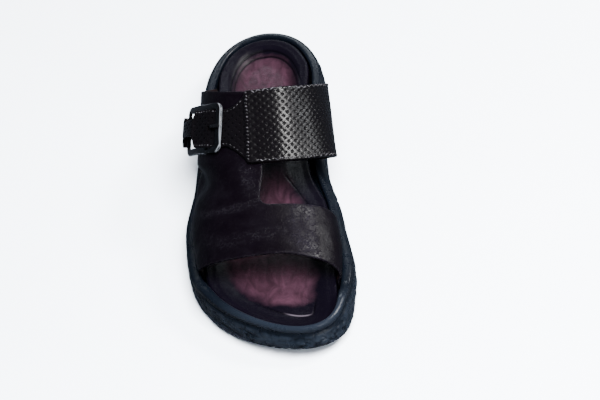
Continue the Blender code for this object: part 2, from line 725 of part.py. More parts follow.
def make_instep_strap(last):
    bm = bmesh.new()
    rows = np.array(strap_rows())
    width, lift, wall = strap_values(rows)
    lift = lift - 0.5 * STRAP_WALL * foot_share(rows) * (rows > 0.5)
    slot = 0.5 * PRONG_HOLE_WIDTH / width
    shares = (-0.5 + 0.0 * slot, -0.3 + 0.0 * slot, -slot, slot, 0.3 + 0.0 * slot, 0.5 + 0.0 * slot)
    low = [strap_point(last, rows, width * share, lift) for share in shares]
    high = [strap_point(last, rows, width * share, lift + wall) for share in shares]
    middle = len(shares) // 2 - 1

    def is_hole(c, r):
        inside = rows[r] > PRONG_HOLE_START - 1e-6 and rows[r + 1] < PRONG_HOLE_END + 1e-6
        return c == middle and inside

    strip_solid(bm, low, high, is_hole)
    material = make_material("woven_leather", (0.014, 0.012, 0.013), 0.35)
    return add_object("instep_strap", bm, material)


def sweep(bm, centres, ups, sides, width, height, segments, closed):
    """Tube of rounded section along centres, with the given up and side directions."""
    loops = []
    for centre, up, side in zip(centres, ups, sides):
        loop = []
        for k in range(segments):
            angle = 2.0 * math.pi * (k + 0.5) / segments
            spread = 0.5 * width * math.copysign(abs(math.cos(angle)) ** 0.7, math.cos(angle))
            rise = 0.5 * height * math.copysign(abs(math.sin(angle)) ** 0.7, math.sin(angle))
            loop.append(bm.verts.new(centre + side * spread + up * rise))
        loops.append(loop)
    pairs = list(zip(loops, loops[1:]))
    if closed:
        pairs.append((loops[-1], loops[0]))
    for a, b in pairs:
        bridge(bm, a, b)
    if not closed:
        bm.faces.new(list(reversed(loops[0])))
        bm.faces.new(loops[-1])


def buckle_point(last, out, across, lift):
    """Point over the quarter. out runs towards the lateral side, across towards the toe."""
    around = np.asarray(BUCKLE_AROUND - out / GIRTH)
    return strap_point(last, around, np.asarray(across), np.asarray(lift))


def buckle_path(points_per_corner):
    """Rounded rectangle of the buckle frame's bars, centre line, as out and across values."""
    half_out = 0.5 * (BUCKLE_LENGTH - BAR_WIDTH)
    half_across = 0.5 * (BUCKLE_WIDTH - BAR_WIDTH)
    corner = BUCKLE_CORNER
    path = []
    for quarter, (sx, sy) in enumerate(((1, 1), (-1, 1), (-1, -1), (1, -1))):
        for k in range(points_per_corner + 1):
            angle = 0.5 * math.pi * (quarter + k / points_per_corner)
            path.append((sx * (half_out - corner) + corner * math.cos(angle),
                         sy * (half_across - corner) + corner * math.sin(angle)))
    return path


def bar_lift(out):
    """Height of the frame's middle over the last: on the anchor, over the strap, arched between."""
    lateral = QUARTER_TOP + BAR_STANDOFF + ANCHOR_WALL + FIT_GAP + 0.5 * BAR_HEIGHT
    medial = QUARTER_TOP + STRAP_WALL + FIT_GAP + 0.5 * BAR_HEIGHT
    share = 0.5 + out / (BUCKLE_LENGTH - BAR_WIDTH)
    arch = BUCKLE_ARCH * (1.0 - (2.0 * share - 1.0) ** 2)
    return medial + (lateral - medial) * share + arch


def sweep_over(bm, last, path, width, height, closed):
    """Bar of rounded section along a path of out, across and lift values over the quarter."""
    centres = [Vector(buckle_point(last, *place)) for place in path]
    higher = [Vector(buckle_point(last, out, across, lift + height)) for out, across, lift in path]
    count = len(path)
    ups = []
    sides = []
    for i in range(count):
        before = centres[i - 1] if closed or i > 0 else centres[i]
        after = centres[(i + 1) % count] if closed or i < count - 1 else centres[i]
        ahead = (after - before).normalized()
        side = (higher[i] - centres[i]).cross(ahead).normalized()
        sides.append(side)
        ups.append(ahead.cross(side).normalized())
    sweep(bm, centres, ups, sides, width, height, BAR_SIDES, closed)


def make_buckle_frame(last):
    bm = bmesh.new()
    path = []
    corners = buckle_path(4)
    for a, b in zip(corners, corners[1:] + corners[:1]):
        pieces = max(1, int(math.hypot(b[0] - a[0], b[1] - a[1]) / 0.0055))
        for k in range(pieces):
            t = k / pieces
            out = a[0] + (b[0] - a[0]) * t
            path.append((out, a[1] + (b[1] - a[1]) * t, bar_lift(out)))
    sweep_over(bm, last, path, BAR_WIDTH, BAR_HEIGHT, True)
    material = make_material("black_metal", (0.010, 0.010, 0.012), 0.15, 0.6)
    return add_object("buckle_frame", bm, material)


def make_buckle_anchor(last):
    """Leather tab folded round the frame's lateral bar, slotted for the prong."""
    bm = bmesh.new()
    bar_out = BAR_REACH
    middle = float(bar_lift(bar_out))
    reach_out = 0.5 * BAR_WIDTH + FIT_GAP + 0.5 * ANCHOR_WALL
    reach_up = 0.5 * BAR_HEIGHT + FIT_GAP + 0.5 * ANCHOR_WALL
    foot = QUARTER_TOP + 0.5 * ANCHOR_WALL + 0.5 * FIT_GAP
    path = [(bar_out - ANCHOR_FOOT, foot), (bar_out - 0.6 * ANCHOR_FOOT, foot)]
    for k in range(9):
        angle = math.pi * (k / 8.0 - 0.5)
        path.append((bar_out + reach_out * math.cos(angle) ** 0.7, middle + reach_up * math.sin(angle)))
    path.append((bar_out - reach_out, middle + reach_up))
    leaf_rows = 2
    low = []
    high = []
    for across in (-0.5 * ANCHOR_WIDTH, -0.5 * PRONG_HOLE_WIDTH, 0.5 * PRONG_HOLE_WIDTH,
                   0.5 * ANCHOR_WIDTH):
        inner = []
        outer = []
        for i, place in enumerate(path):
            before = path[max(i - 1, 0)]
            after = path[min(i + 1, len(path) - 1)]
            way = math.hypot(after[0] - before[0], after[1] - before[1])
            normal = ((after[1] - before[1]) / way, -(after[0] - before[0]) / way)
            for line, side in ((inner, -0.5), (outer, 0.5)):
                out = place[0] + side * ANCHOR_WALL * normal[0]
                lift = place[1] + side * ANCHOR_WALL * normal[1]
                line.append(buckle_point(last, out, across, lift))
        low.append(inner)
        high.append(outer)
    strip_solid(bm, low, high, lambda c, r: c == 1 and r >= leaf_rows)
    material = make_material("strap_leather", (0.016, 0.012, 0.013), 0.45)
    return add_object("buckle_anchor", bm, material)


def prong_lift_under_strap(out):
    around = BUCKLE_AROUND - out / GIRTH
    return float(strap_values(np.asarray(around))[1]) - 0.5 * PRONG_HEIGHT - 3.0 * FIT_GAP


def make_buckle_prong(last):
    """Prong hooked over the lateral bar, up through the strap's hole and onto the medial bar."""
    bm = bmesh.new()
    bar_out = BAR_REACH
    over_bar = 0.5 * (BAR_HEIGHT + PRONG_HEIGHT) + FIT_GAP
    lateral = float(bar_lift(bar_out))
    medial = float(bar_lift(-bar_out))
    beside = 0.5 * (BAR_WIDTH + PRONG_HEIGHT) + FIT_GAP
    path = [
        (bar_out + beside, 0.0, lateral - 0.0004),
        (bar_out + 0.8 * beside, 0.0, lateral + 0.75 * over_bar),
        (bar_out, 0.0, lateral + over_bar),
        (bar_out - beside, 0.0, lateral + 0.92 * over_bar),
        (0.42 * bar_out, 0.0, prong_lift_under_strap(0.42 * bar_out)),
        (0.08 * bar_out, 0.0, prong_lift_under_strap(0.08 * bar_out)),
        (-0.22 * bar_out, 0.0, QUARTER_TOP + 0.5 * PRONG_HEIGHT + 3.0 * FIT_GAP),
        (-0.55 * bar_out, 0.0, medial - 0.05 * over_bar),
        (-bar_out + beside, 0.0, medial + 0.92 * over_bar),
        (-bar_out, 0.0, medial + over_bar + FIT_GAP),
        (-bar_out - 0.4 * beside, 0.0, medial + over_bar),
    ]
    sweep_over(bm, last, path, PRONG_WIDTH, PRONG_HEIGHT, False)
    return add_object("buckle_prong", bm, make_material("dark_metal", (0.02, 0.02, 0.022), 0.3, 0.8))


def clear_scene():
    for obj in list(bpy.data.objects):
        bpy.data.objects.remove(obj, do_unlink=True)


def main():
    clear_scene()
    last = Last()
    make_outsole()
    make_footbed()
    make_upper(last)
    make_instep_strap(last)
    make_buckle_frame(last)
    make_buckle_anchor(last)
    make_buckle_prong(last)


main()
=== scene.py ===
"""Two-band slide sandal for the right foot: its surfaces, stitching, finishes and studio.

Metres, Z up, toe towards -Y, medial side towards +X, floor at Z = 0.
"""

import math

import bmesh
import bpy
import numpy as np
from bpy.props import FloatProperty, FloatVectorProperty, PointerProperty
from bpy.types import Operator, Panel, PropertyGroup
from mathutils import Matrix, Vector
from mathutils.geometry import delaunay_2d_cdt


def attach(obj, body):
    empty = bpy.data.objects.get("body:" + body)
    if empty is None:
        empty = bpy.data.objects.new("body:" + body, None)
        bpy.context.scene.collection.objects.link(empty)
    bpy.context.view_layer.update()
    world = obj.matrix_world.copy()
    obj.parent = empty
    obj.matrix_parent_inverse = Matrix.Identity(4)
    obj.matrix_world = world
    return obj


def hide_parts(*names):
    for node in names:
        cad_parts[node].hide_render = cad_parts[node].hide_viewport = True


bl_info = {
    "name": "Slide sandal",
    "version": (1, 0, 0),
    "blender": (4, 5, 0),
    "location": "3D View > Sidebar > Sandal",
    "description": "Builds a two-band leather slide sandal and its studio",
    "category": "Add Mesh",
}

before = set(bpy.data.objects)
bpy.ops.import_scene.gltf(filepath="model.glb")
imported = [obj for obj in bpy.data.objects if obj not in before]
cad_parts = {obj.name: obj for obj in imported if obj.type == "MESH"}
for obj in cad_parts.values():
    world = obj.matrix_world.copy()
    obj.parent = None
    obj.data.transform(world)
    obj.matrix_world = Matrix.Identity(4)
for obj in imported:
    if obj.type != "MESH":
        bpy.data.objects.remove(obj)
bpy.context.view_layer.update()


def table(columns, *rows):
    """Rows of values under named columns."""
    return tuple(dict(zip(columns, row)) for row in rows)


# Overall sizes
SHOE_LENGTH = 0.288
BALL_WIDTH = 0.109
FRAME_SHIFT = 0.0077

# Outsole
HEEL_RIM_HEIGHT = 0.029
TOE_STEP_RISE = 0.0062
TOE_STEP_MEDIAL = 0.880
TOE_STEP_LATERAL = 0.800
TOE_STEP_LENGTH = 0.070
TOE_SPRING = 0.0095
TOE_SPRING_START = 0.72
HEEL_ROLL = 0.0020
HEEL_ROLL_END = 0.055
ARCH_LIFT = 0.0030
ARCH_START = 0.36
ARCH_END = 0.56
RIM_WIDTH = 0.0074
LIP_HEIGHT = 0.0050
LIP_GROOVE = 0.0006
LIP_GROOVE_WIDTH = 0.0020
LIP_ROUND = 0.0030
RIM_EDGE = 0.0008
FOOT_ROUND = 0.0040
SIDE_LEAN = 0.0004
TOE_LEAN = 0.0034
HEEL_LEAN = 0.0016
TOE_LEAN_START = 0.80
HEEL_LEAN_END = 0.16
CUP_FLOOR = 0.0105
TREAD_EDGE = 0.0022
TREAD_DEPTH = 0.0022
TREAD_GROOVE = 0.0045
TREAD_BORDER = 0.010
HEEL_TREAD_START = 0.085
HEEL_TREAD_END = 0.34
HEEL_GROOVES = 4
FORE_TREAD_START = 0.57
FORE_TREAD_END = 0.80
FORE_GROOVES = 6
TREAD_SOFTNESS = 0.0008
PAD_SPACING = 0.0090
PAD_DEPTH = 0.0005
PAD_BORDER = 0.004

# Rocky side wall: share of the coarse facets in the relief, size of the fine facets as a share of
# the coarse ones, the level that stands at the plain wall, the plain strips at foot and top with
# the ways over which the rock fades into them, and how far facets shift, tilt, step and fall off.
ROCK_COARSE_SHARE = 0.72
ROCK_FINE_SIZE = 0.42
ROCK_LEVEL = 0.62
ROCK_SEEDS = (3, 8)
ROCK_FOOT = 0.0010
ROCK_FOOT_FADE = 0.0022
ROCK_TOP = 0.0008
ROCK_TOP_FADE = 0.0016
PLAIN_RELIEF = 0.3
FACET_SHIFT = 0.42
FACET_TILT = 1.1
FACET_STEP = 0.8
FACET_FALL = 1.1
WALL_REACH = 0.045

# Painted sheen on the top of the rim at the toe: how far ahead of the shoe's middle and how far
# under the lip's shoulder it begins, and the ways over which it comes.
RIM_SHEEN_START = 0.100
RIM_SHEEN_REACH = 0.030
RIM_SHEEN_DROP = 0.0004
RIM_SHEEN_FADE = 0.0016

# Footbed
STRAP_GROOVE = 0.0036
SEAT_GAP = 0.0003
BED_DROP = 0.0012
HEEL_BED_DROP = 0.0004
BED_ROUND = 0.0012
BED_LIP = 0.0026
BED_LIP_DROP = 0.0008
HEEL_DISH = 0.0070
ARCH_SUPPORT = 0.0050
ARCH_SUPPORT_START = 0.22
ARCH_SUPPORT_END = 0.66
DISH_BORDER = 0.011
GROOVE_LEAST = 0.0009
GROOVE_FADE = 0.100

# Leather
UPPER_WALL = 0.0020
STRAP_WALL = 0.0020
SEAM_WALL = 0.0016
LAYER_GAP = 0.00045
TUCK_DEPTH = 0.0075
TUCK_FADE = 0.08
INSTEP_HEIGHT = 0.092
GIRTH = 0.170
CREASE_BORDER = 0.010
EDGE_WEAR = 0.8
EDGE_WEAR_REACH = 0.0006
LINING_SHADE = 0.5
UNDER_STRAP_LATERAL = 0.575
UNDER_STRAP_MEDIAL = 0.640
UNDER_STRAP_FADE = 0.022
SPOT_BEND = 4.0

# Instep strap and buckle
STRAP_WIDTH = 0.052
TAB_WIDTH = 0.025
STRAP_TWIST = 0.17
TWIST_END = 0.535
TWIST_REACH = 0.175
NECK_WIDTH = 0.012
TAIL_DROP = 0.0024
BUCKLE_AROUND = 0.280
BUCKLE_LENGTH = 0.0378
BUCKLE_WIDTH = 0.0384
BUCKLE_CORNER = 0.0030
BUCKLE_FLARE = 0.045
BUCKLE_BEND = 0.34
BAR_WIDTH = 0.0047
BAR_HEIGHT = 0.0026
BAR_SQUARENESS = 0.7
ANCHOR_WALL = 0.0009
ANCHOR_WIDTH = 0.012
ANCHOR_FOOT = 0.009
ANCHOR_EDGE = 0.0005
ANCHOR_EDGE_LOSS = 0.0006
PRONG_WIDTH = 0.0024
PRONG_HEIGHT = 0.0014
HOOK_DROP = 0.0004
PRONG_HOLE_LENGTH = 0.0034
PRONG_HOLE_WIDTH = 0.0034
# Painted highlight along the buckle frame's outer edge, stronger on the medial bar.
FRAME_HIGHLIGHT_AT = 0.42
FRAME_HIGHLIGHT_WIDTH = 0.15
FRAME_HIGHLIGHT_SHARE = 0.28
MEDIAL_HIGHLIGHT_SHARE = 0.40
BAR_STANDOFF = 0.0034
FIT_GAP = 0.0003
BAR_REACH = 0.5 * (BUCKLE_LENGTH - BAR_WIDTH)
LATERAL_BAR = BUCKLE_AROUND - BAR_REACH / GIRTH
MEDIAL_BAR = BUCKLE_AROUND + BAR_REACH / GIRTH
PRONG_HOLE_END = BUCKLE_AROUND + 0.80 * BAR_REACH / GIRTH
PRONG_HOLE_START = PRONG_HOLE_END - PRONG_HOLE_LENGTH / GIRTH
QUARTER_TOP = UPPER_WALL + LAYER_GAP

# Basket weave, in shares of a cell: where a strand's side begins to fall and over what way, how
# round its back is, how high the strand below stands, and the plain strips at edge and seam.
STRAND_HALF = 0.26
STRAND_FALL = 0.10
STRAND_CROWN = 0.06
STRAND_BELOW = 0.83
WEAVE_LEVEL = 0.55
PLAIN_LEATHER = 0.75
WEAVE_BORDER = 0.0010
WEAVE_BORDER_FADE = 0.0012
SEAM_HALF = 0.004

# Stitching. The wide strap has a zigzag between two insets, the tab a running stitch, and the
# seam a slanted lace.
ZIGZAG_INSETS = (0.0003, 0.0022)
STITCH_WANDER = 0.0003
STITCH_ARCH = 0.00055
STITCH_START = 0.004
STITCH_END = 0.006
STITCH_SEAM_GAP = 0.003
TAB_STITCH_INSET = 0.0018
TAB_STITCH_SHARE = 0.6
TAB_STITCH_ARCH = 0.0004
TAB_THREAD_SHARE = 0.8
LACE_MARGIN = 0.0014
LACE_END_MARGIN = 0.0010
LACE_SPACING = 1.05
LACE_WANDER = 0.0004
LACE_LOW = (-0.0012, -0.0006, -0.0008)
LACE_HIGH = (0.0011, 0.0008, 0.0)
LACE_ARCH = 0.0012
THREAD_SEED = 5

# Outline of the sole, a row for each section. along: share of the length from the heel.
# half: half width, centre: middle line, both shares of BALL_WIDTH. rim: height of the rim on the
# side, share of HEEL_RIM_HEIGHT. dish: hollow of the footbed, share of HEEL_DISH.
SOLE_SECTIONS = table(
    ("along", "half", "centre", "rim", "dish"),
    (0.00, 0.419, -0.004, 1.00, 1.00),
    (0.12, 0.394, -0.009, 0.97, 1.00),
    (0.30, 0.394, -0.047, 0.88, 0.80),
    (0.48, 0.420, -0.083, 0.79, 0.45),
    (0.62, 0.488, -0.089, 0.74, 0.28),
    (0.74, 0.500, -0.065, 0.72, 0.30),
    (0.86, 0.456, -0.009, 0.72, 0.45),
    (1.00, 0.424, 0.145, 0.72, 0.50),
)
HEEL_ROUND = 0.202
HEEL_POWER = 2.02
TOE_ROUND = 0.212
TOE_POWER = 2.03

# Sections of the last, a row for each. along: where its ridge stands. lateral and medial: where
# its two feet stand in the groove, all shares of the length from the heel. height: ridge height,
# share of INSTEP_HEIGHT. ridge: ridge from the middle of the feet. The bulges are how far the
# widest points stand outside the feet, shares of BALL_WIDTH, and the waists their heights, shares
# of the ridge height. shoulder: 2 is a round shoulder, more is squarer.
LAST_SECTIONS = table(
    ("along", "lateral", "medial", "height", "ridge", "shoulder",
     "lateral_bulge", "medial_bulge", "lateral_waist", "medial_waist"),
    (0.380, 0.140, 0.140, 1.090, 0.03, 2.20, 0.030, 0.100, 0.52, 0.54),
    (0.440, 0.223, 0.225, 0.980, 0.03, 2.20, 0.035, 0.118, 0.53, 0.55),
    (0.520, 0.340, 0.335, 0.860, 0.03, 2.20, 0.035, 0.145, 0.55, 0.57),
    (0.600, 0.452, 0.445, 0.745, 0.03, 2.15, 0.024, 0.155, 0.56, 0.60),
    (0.700, 0.600, 0.627, 0.645, 0.03, 2.05, 0.000, 0.045, 0.52, 0.54),
    (0.816, 0.764, 0.845, 0.545, 0.03, 1.95, 0.002, 0.015, 0.50, 0.50),
    (0.860, 0.815, 0.900, 0.510, 0.03, 1.95, 0.002, 0.015, 0.50, 0.50),
)

# Cut of the vamp and quarter, corners in order. along: share of the length at the ridge.
# around: share of the way from the lateral foot over the ridge to the medial foot.
# round: corner radius in metres.
UPPER_CUT = table(
    ("along", "around", "round"),
    (0.816, 0.00, 0.000),
    (0.816, 0.25, 0.060),
    (0.826, 0.72, 0.060),
    (0.818, 1.00, 0.000),
    (0.730, 1.00, 0.000),
    (0.713, 0.78, 0.040),
    (0.700, 0.51, 0.010),
    (0.600, 0.485, 0.050),
    (0.440, 0.48, 0.006),
    (0.424, 0.34, 0.030),
    (0.405, 0.00, 0.000),
    (0.600, 0.00, 0.000),
    (0.615, 0.130, 0.008),
    (0.685, 0.125, 0.008),
    (0.705, 0.00, 0.000),
)

# Instep strap from the tail to its medial foot, a row for each station. around: as above.
# middle: its middle line, share of the length. base: the named width that the row follows, and
# width its share of it. lift: what the strap lies on there. seam: share of SEAM_WALL added.
STRAP_SEAM = 0.457
STRAP_STATIONS = table(
    ("around", "middle", "base", "width", "lift", "seam"),
    (LATERAL_BAR - 0.029, 0.507, "tab", 0.94, "tail", 0.0),
    (LATERAL_BAR - 0.025, 0.507, "tab", 1.00, "tail", 0.0),
    (LATERAL_BAR - 0.018, 0.507, "tab", 1.00, "bar", 0.0),
    (LATERAL_BAR - 0.013, 0.507, "neck", 1.00, "bar", 0.0),
    (LATERAL_BAR + 0.022, 0.507, "neck", 1.00, "bar", 0.0),
    (LATERAL_BAR + 0.107, 0.508, "neck", 1.20, "shoulder", 0.0),
    (LATERAL_BAR + 0.112, 0.510, "tab", 1.18, "middle", 0.0),
    (MEDIAL_BAR - 0.034, 0.511, "tab", 1.18, "prong", 0.0),
    (MEDIAL_BAR - 0.012, 0.512, "tab", 1.16, "quarter", 0.0),
    (MEDIAL_BAR + 0.018, 0.514, "tab", 1.08, "quarter", 0.0),
    (STRAP_SEAM - 0.009, 0.520, "strap", 0.86, "quarter", 0.0),
    (STRAP_SEAM, 0.521, "strap", 1.00, "quarter", 1.0),
    (0.477, 0.522, "strap", 1.00, "quarter", 0.5),
    (0.530, 0.524, "strap", 1.02, "quarter", 0.3),
    (0.640, 0.526, "strap", 1.06, "last", 0.2),
    (0.820, 0.527, "strap", 1.16, "last", 0.2),
    (1.000, 0.527, "strap", 1.26, "last", 0.0),
)

# Parts of the groove beside the footbed that are open for the bands. side: 1 is medial.
# start and end: shares of the length. share: how far the groove is open.
GROOVE_PARTS = table(
    ("side", "start", "end", "share"),
    (-1, 0.200, 0.427, 1.0),
    (-1, 0.633, 0.740, 1.0),
    (1, 0.215, 0.496, 1.0),
    (1, 0.714, 0.823, 1.0),
)

# Soft creases of the vamp and quarter, a row for each. around and along: its middle, as above.
# turn: its direction in degrees, 0 runs across the foot and 90 along it. length and breadth: its
# size, and lift: its height, in metres, all from the middle out. Below zero is a trough.
CREASES = table(
    ("around", "along", "turn", "length", "breadth", "lift"),
    (0.30, 0.640, 18.0, 0.034, 0.0065, -0.0007),
    (0.31, 0.664, 14.0, 0.036, 0.0060, 0.0006),
    (0.60, 0.752, -4.0, 0.030, 0.0070, -0.0005),
    (0.74, 0.770, 24.0, 0.024, 0.0055, -0.0005),
    (0.22, 0.756, -12.0, 0.028, 0.0065, -0.0005),
    (0.42, 0.520, 80.0, 0.030, 0.0070, -0.0004),
    (0.18, 0.612, 0.0, 0.0200, 0.0105, -0.0052),
    (0.22, 0.700, 8.0, 0.020, 0.0050, -0.0006),
)

# Scuffed places of the vamp and quarter, painted lighter; on the medial vamp they also stand in for
# a painted highlight. around and along: middle, as above. turn: direction in degrees. length and
# breadth in metres. share: how strong.
SCUFFS = table(
    ("around", "along", "turn", "length", "breadth", "share"),
    (0.665, 0.740, 90.0, 0.024, 0.0075, 0.75),
    (0.725, 0.750, 84.0, 0.026, 0.0042, 1.00),
    (0.700, 0.808, 60.0, 0.010, 0.0060, 0.80),
    (0.445, 0.628, 70.0, 0.014, 0.0050, 0.55),
    (0.330, 0.700, 4.0, 0.030, 0.0030, 0.60),
    (0.300, 0.770, 20.0, 0.016, 0.0060, 0.30),
    (0.500, 0.775, 0.0, 0.022, 0.0050, 0.30),
)

# Soft boxes round the shoe, all facing it. power: share of the named power. shine: whether
# polished surfaces mirror it.
LIGHTS = table(
    ("name", "wide", "high", "power", "place", "tint", "shine"),
    ("key_light", 0.24, 0.30, 1.0, (1.02, 0.10, 1.06), (1.0, 0.99, 0.98), True),
    ("fill_light", 0.80, 0.60, 1.0, (0.32, -0.50, 1.30), (0.94, 0.97, 1.0), False),
    ("back_light", 0.80, 0.20, 0.24, (0.10, 1.25, 0.90), (0.86, 0.93, 1.0), True),
    ("front_light", 0.22, 0.22, 0.22, (0.60, -1.10, 0.95), (0.92, 0.96, 1.0), True),
    ("side_light", 0.30, 0.30, 0.20, (1.40, 0.55, 0.60), (0.95, 0.98, 1.0), True),
)

# Double embossed arch round the heel of the footbed. Apex and end: shares of the length.
HEEL_LINE_APEX = 0.067
HEEL_LINE_END = 0.235
HEEL_LINE_HALF = 0.0240
HEEL_LINE_RISE = 0.040
HEEL_LINE_POWER = 2.15
HEEL_LINE_GAP = 0.0015
HEEL_LINE_SHIFT = 0.0070

# Embossed lines that run down the waist of the footbed, in metres in the shoe's own frame.
WAIST_LINES = table(
    ("start_x", "start_y", "end_x", "end_y"),
    (0.0150, 0.0040, 0.0330, -0.0330),
    (0.0345, 0.0100, 0.0430, -0.0400),
)
WAIST_LINE_WIDTH = 0.0016
LINE_END_FADE = 0.12
TOE_LINE_INSET = 0.0165
TOE_LINE_WIDTH = 0.0018
TOE_LINE_START = 0.86
LINE_BORDER = 0.004

# Middle of the footbed, lighter partly as rubbed leather and partly as a painted sheen at the heel:
# how far from the edge it begins and the way over which it comes, the same at the heel, where it
# ends at the toe, and the stretch under the strap darkened as a painted shadow of the strap.
MIDDLE_INSET = 0.010
MIDDLE_FADE = 0.019
HEEL_MIDDLE_INSET = 0.007
HEEL_MIDDLE_FADE = 0.011
HEEL_MIDDLE_END = 0.32
HEEL_MIDDLE_LOSS = 0.22
MIDDLE_TOE_END = 0.917
STRAP_SHADOW_START = 0.007
STRAP_SHADOW_END = 0.098
STRAP_SHADOW_START_FADE = 0.010
STRAP_SHADOW_END_FADE = 0.040
STRAP_SHADOW_LOSS = 0.8

# Painted highlights of the footbed: one along the toe line from start to end across the shoe, and
# one along the edge at the toe.
TOE_HIGHLIGHT_START = 0.006
TOE_HIGHLIGHT_END = 0.0275
TOE_HIGHLIGHT_SHIFT = 0.0004
TOE_HIGHLIGHT_AHEAD = 0.10
EDGE_HIGHLIGHT_INSET = 0.0042
EDGE_HIGHLIGHT_WIDTH = 0.0030
EDGE_HIGHLIGHT_START = 0.90
EDGE_HIGHLIGHT_SHARE = 0.8

# Camera: its angles in degrees, the place it looks at and how far off it stands. Then the place
# that the lights face, and the tint and strength of the room's own light.
CAMERA_AZIMUTH = 6.54
CAMERA_ELEVATION = 46.34
CAMERA_ROLL = -13.76
CAMERA_TARGET = (0.01682 + FRAME_SHIFT, -0.02108, 0.020)
CAMERA_DISTANCE = 1.45843
SENSOR_WIDTH = 36.0
LIGHTS_TARGET = (0.0, 0.0, 0.03)
ROOM_TINT = (0.66, 0.78, 1.0)
ROOM_STRENGTH = 0.20
FLOOR_REACH = 4.0

# Fineness of the surfaces
SOLE_POINTS = 1080
SOLE_UNDER_COLUMNS = 38
BED_POINTS = 960
BED_COLUMNS = 126
LAST_ROWS = 161
LAST_COLUMNS = 361
SECTION_SAMPLES = 120
CUP_COLUMNS = 6
BED_UNDER_COLUMNS = 4
UPPER_SPACING = 0.0014
UPPER_ROW_RISE = 0.866
UPPER_EDGE_BANDS = (0.16, 0.5, 1.0)
STRAP_SPACING = 0.00043
STRAP_STEP = 0.030
STRAP_EDGE_COLUMNS = (0.0, 0.08, 0.3, 0.62)
STRAP_WING_COLUMNS = 62
STRAP_SLOT_COLUMNS = 11
STRAP_WING_MARKS = (24, 44)
STRETCH_PROBE = 0.01
TURN_PROBE = 0.002
THREAD_SIDES = 8
THREAD_STEPS = 7
CORNER_STEPS = 12
RING_STEP = 0.0009
RING_SIDES = 24
PRONG_SIDES = 16
PATH_STEPS = 6
FOLD_STEPS = 8
TAB_PATH_STEPS = 4
SLOT_COLUMN = 2
SLOT_START_ROW = 8
UP_PROBE = 0.001
BLOCK = 2000


def length_property(name, description, default, least=0.0):
    """A length of the sandal in the panel."""
    return FloatProperty(name=name, description=description, default=default, min=least,
                         unit="LENGTH")


class SandalSizes(PropertyGroup):
    rock_length: length_property("Rock length", "Length of a facet of the sole's rocky side wall",
                                 0.0036, 0.002)
    rock_height: length_property("Rock height", "Height of a facet of the sole's rocky side wall",
                                 0.0019, 0.001)
    rock_depth: length_property("Rock depth", "Depth of the rocky relief of the side wall", 0.0020)
    weave_cell: length_property("Weave cell", "Width of one strand of the strap's basket weave",
                                0.0037, 0.0008)
    weave_depth: length_property("Weave depth", "Height of the basket weave over its hollows",
                                 0.00036)
    edge_round: length_property("Edge rounding", "Radius of the leather's cut edges",
                                0.0007, 0.0001)
    stitch_length: length_property("Stitch length", "Way along the edge from stitch to stitch",
                                   0.0024, 0.001)
    thread: length_property("Thread", "Thickness of the edge stitching's thread", 0.0007, 0.0002)
    lacing: length_property("Lacing", "Thickness of the lace over the raised seam", 0.0010, 0.0003)
    bed_line_depth: length_property("Footbed line depth", "Depth of the footbed's embossed lines",
                                    0.0003)
    camera_lens: FloatProperty(
        name="Lens", description="Focal length of the camera in millimetres",
        default=129.64, min=20.0, unit="CAMERA")
    key_power: FloatProperty(
        name="Key light", description="Power of the soft box at the side, and of the small ones",
        default=44.0, min=0.0, unit="POWER")
    fill_power: FloatProperty(
        name="Fill light", description="Power of the large soft box in front",
        default=190.0, min=0.0, unit="POWER")


def colour_property(name, description, default):
    """A colour of the sandal in the panel."""
    return FloatVectorProperty(name=name, description=description, default=default,
                               subtype="COLOR", size=3, min=0.0, max=1.0)


class SandalColours(PropertyGroup):
    rubber: colour_property("Rubber", "Moulded rubber of the cup sole", (0.0008, 0.0012, 0.0021))
    # Raised rock facets, lighter partly as worn rubber and partly as painted glints.
    rubber_worn_and_glint: colour_property(
        "Worn rubber", "Raised spots of the rubber", (0.0046, 0.0062, 0.0092))
    # Painted sheen on the top of the rim at the toe.
    rubber_rim_sheen: colour_property(
        "Toe rim", "Dusty top of the rim at the toe", (0.0038, 0.0050, 0.0076))
    # Painted highlight along the buckle frame's outer edge.
    metal_edge_highlight: colour_property("Buckle edge", "Worn outer edge of the buckle", (0.16, 0.165, 0.18))
    bed: colour_property(
        "Footbed", "Leather in the middle of the footbed", (0.0210, 0.0085, 0.0135))
    # Painted highlight along the footbed's toe line and toe edge.
    bed_highlight: colour_property(
        "Footbed wear", "Worn line of the footbed at the toe", (0.034, 0.028, 0.034))
    bed_edge: colour_property(
        "Footbed edge", "Burnished leather near the edge", (0.0010, 0.0007, 0.0016))
    vamp: colour_property("Vamp", "Leather of the vamp and quarter", (0.00060, 0.00028, 0.00065))
    # Lighter rubbed patches, which on the medial vamp also carry a painted highlight.
    vamp_cloud: colour_property(
        "Vamp cloud", "Rubbed patches of the vamp", (0.0068, 0.0056, 0.0080))
    strap: colour_property("Strap", "Raised strands of the woven strap", (0.0010, 0.0008, 0.0010))
    # Painted shade in the hollows of the weave.
    strap_hollow_shade: colour_property("Strap hollow", "Hollows of the weave", (0.0003, 0.0002, 0.0003))
    thread: colour_property("Thread", "Stitching thread", (0.040, 0.037, 0.041))
    lining: colour_property("Lining", "Underside of the bands", (0.0030, 0.0013, 0.0014))
    metal: colour_property("Metal", "Lacquered metal of the buckle", (0.0004, 0.0004, 0.0005))
    floor: colour_property("Floor", "Studio floor", (0.90, 0.94, 1.0))


def sizes():
    """Named lengths and lights of the panel."""
    return bpy.context.scene.sandal_sizes


def colours():
    """Named colours of the panel."""
    return bpy.context.scene.sandal_colours


def smooth_step(x):
    """Soft step from 0 at 0 to 1 at 1."""
    x = np.clip(x, 0.0, 1.0)
    return x * x * (3.0 - 2.0 * x)


def window(value, start, end, rise, fall=None):
    """1 between start and end, with a soft step inside either of them."""
    return smooth_step((value - start) / rise) * smooth_step((end - value) / (fall or rise))


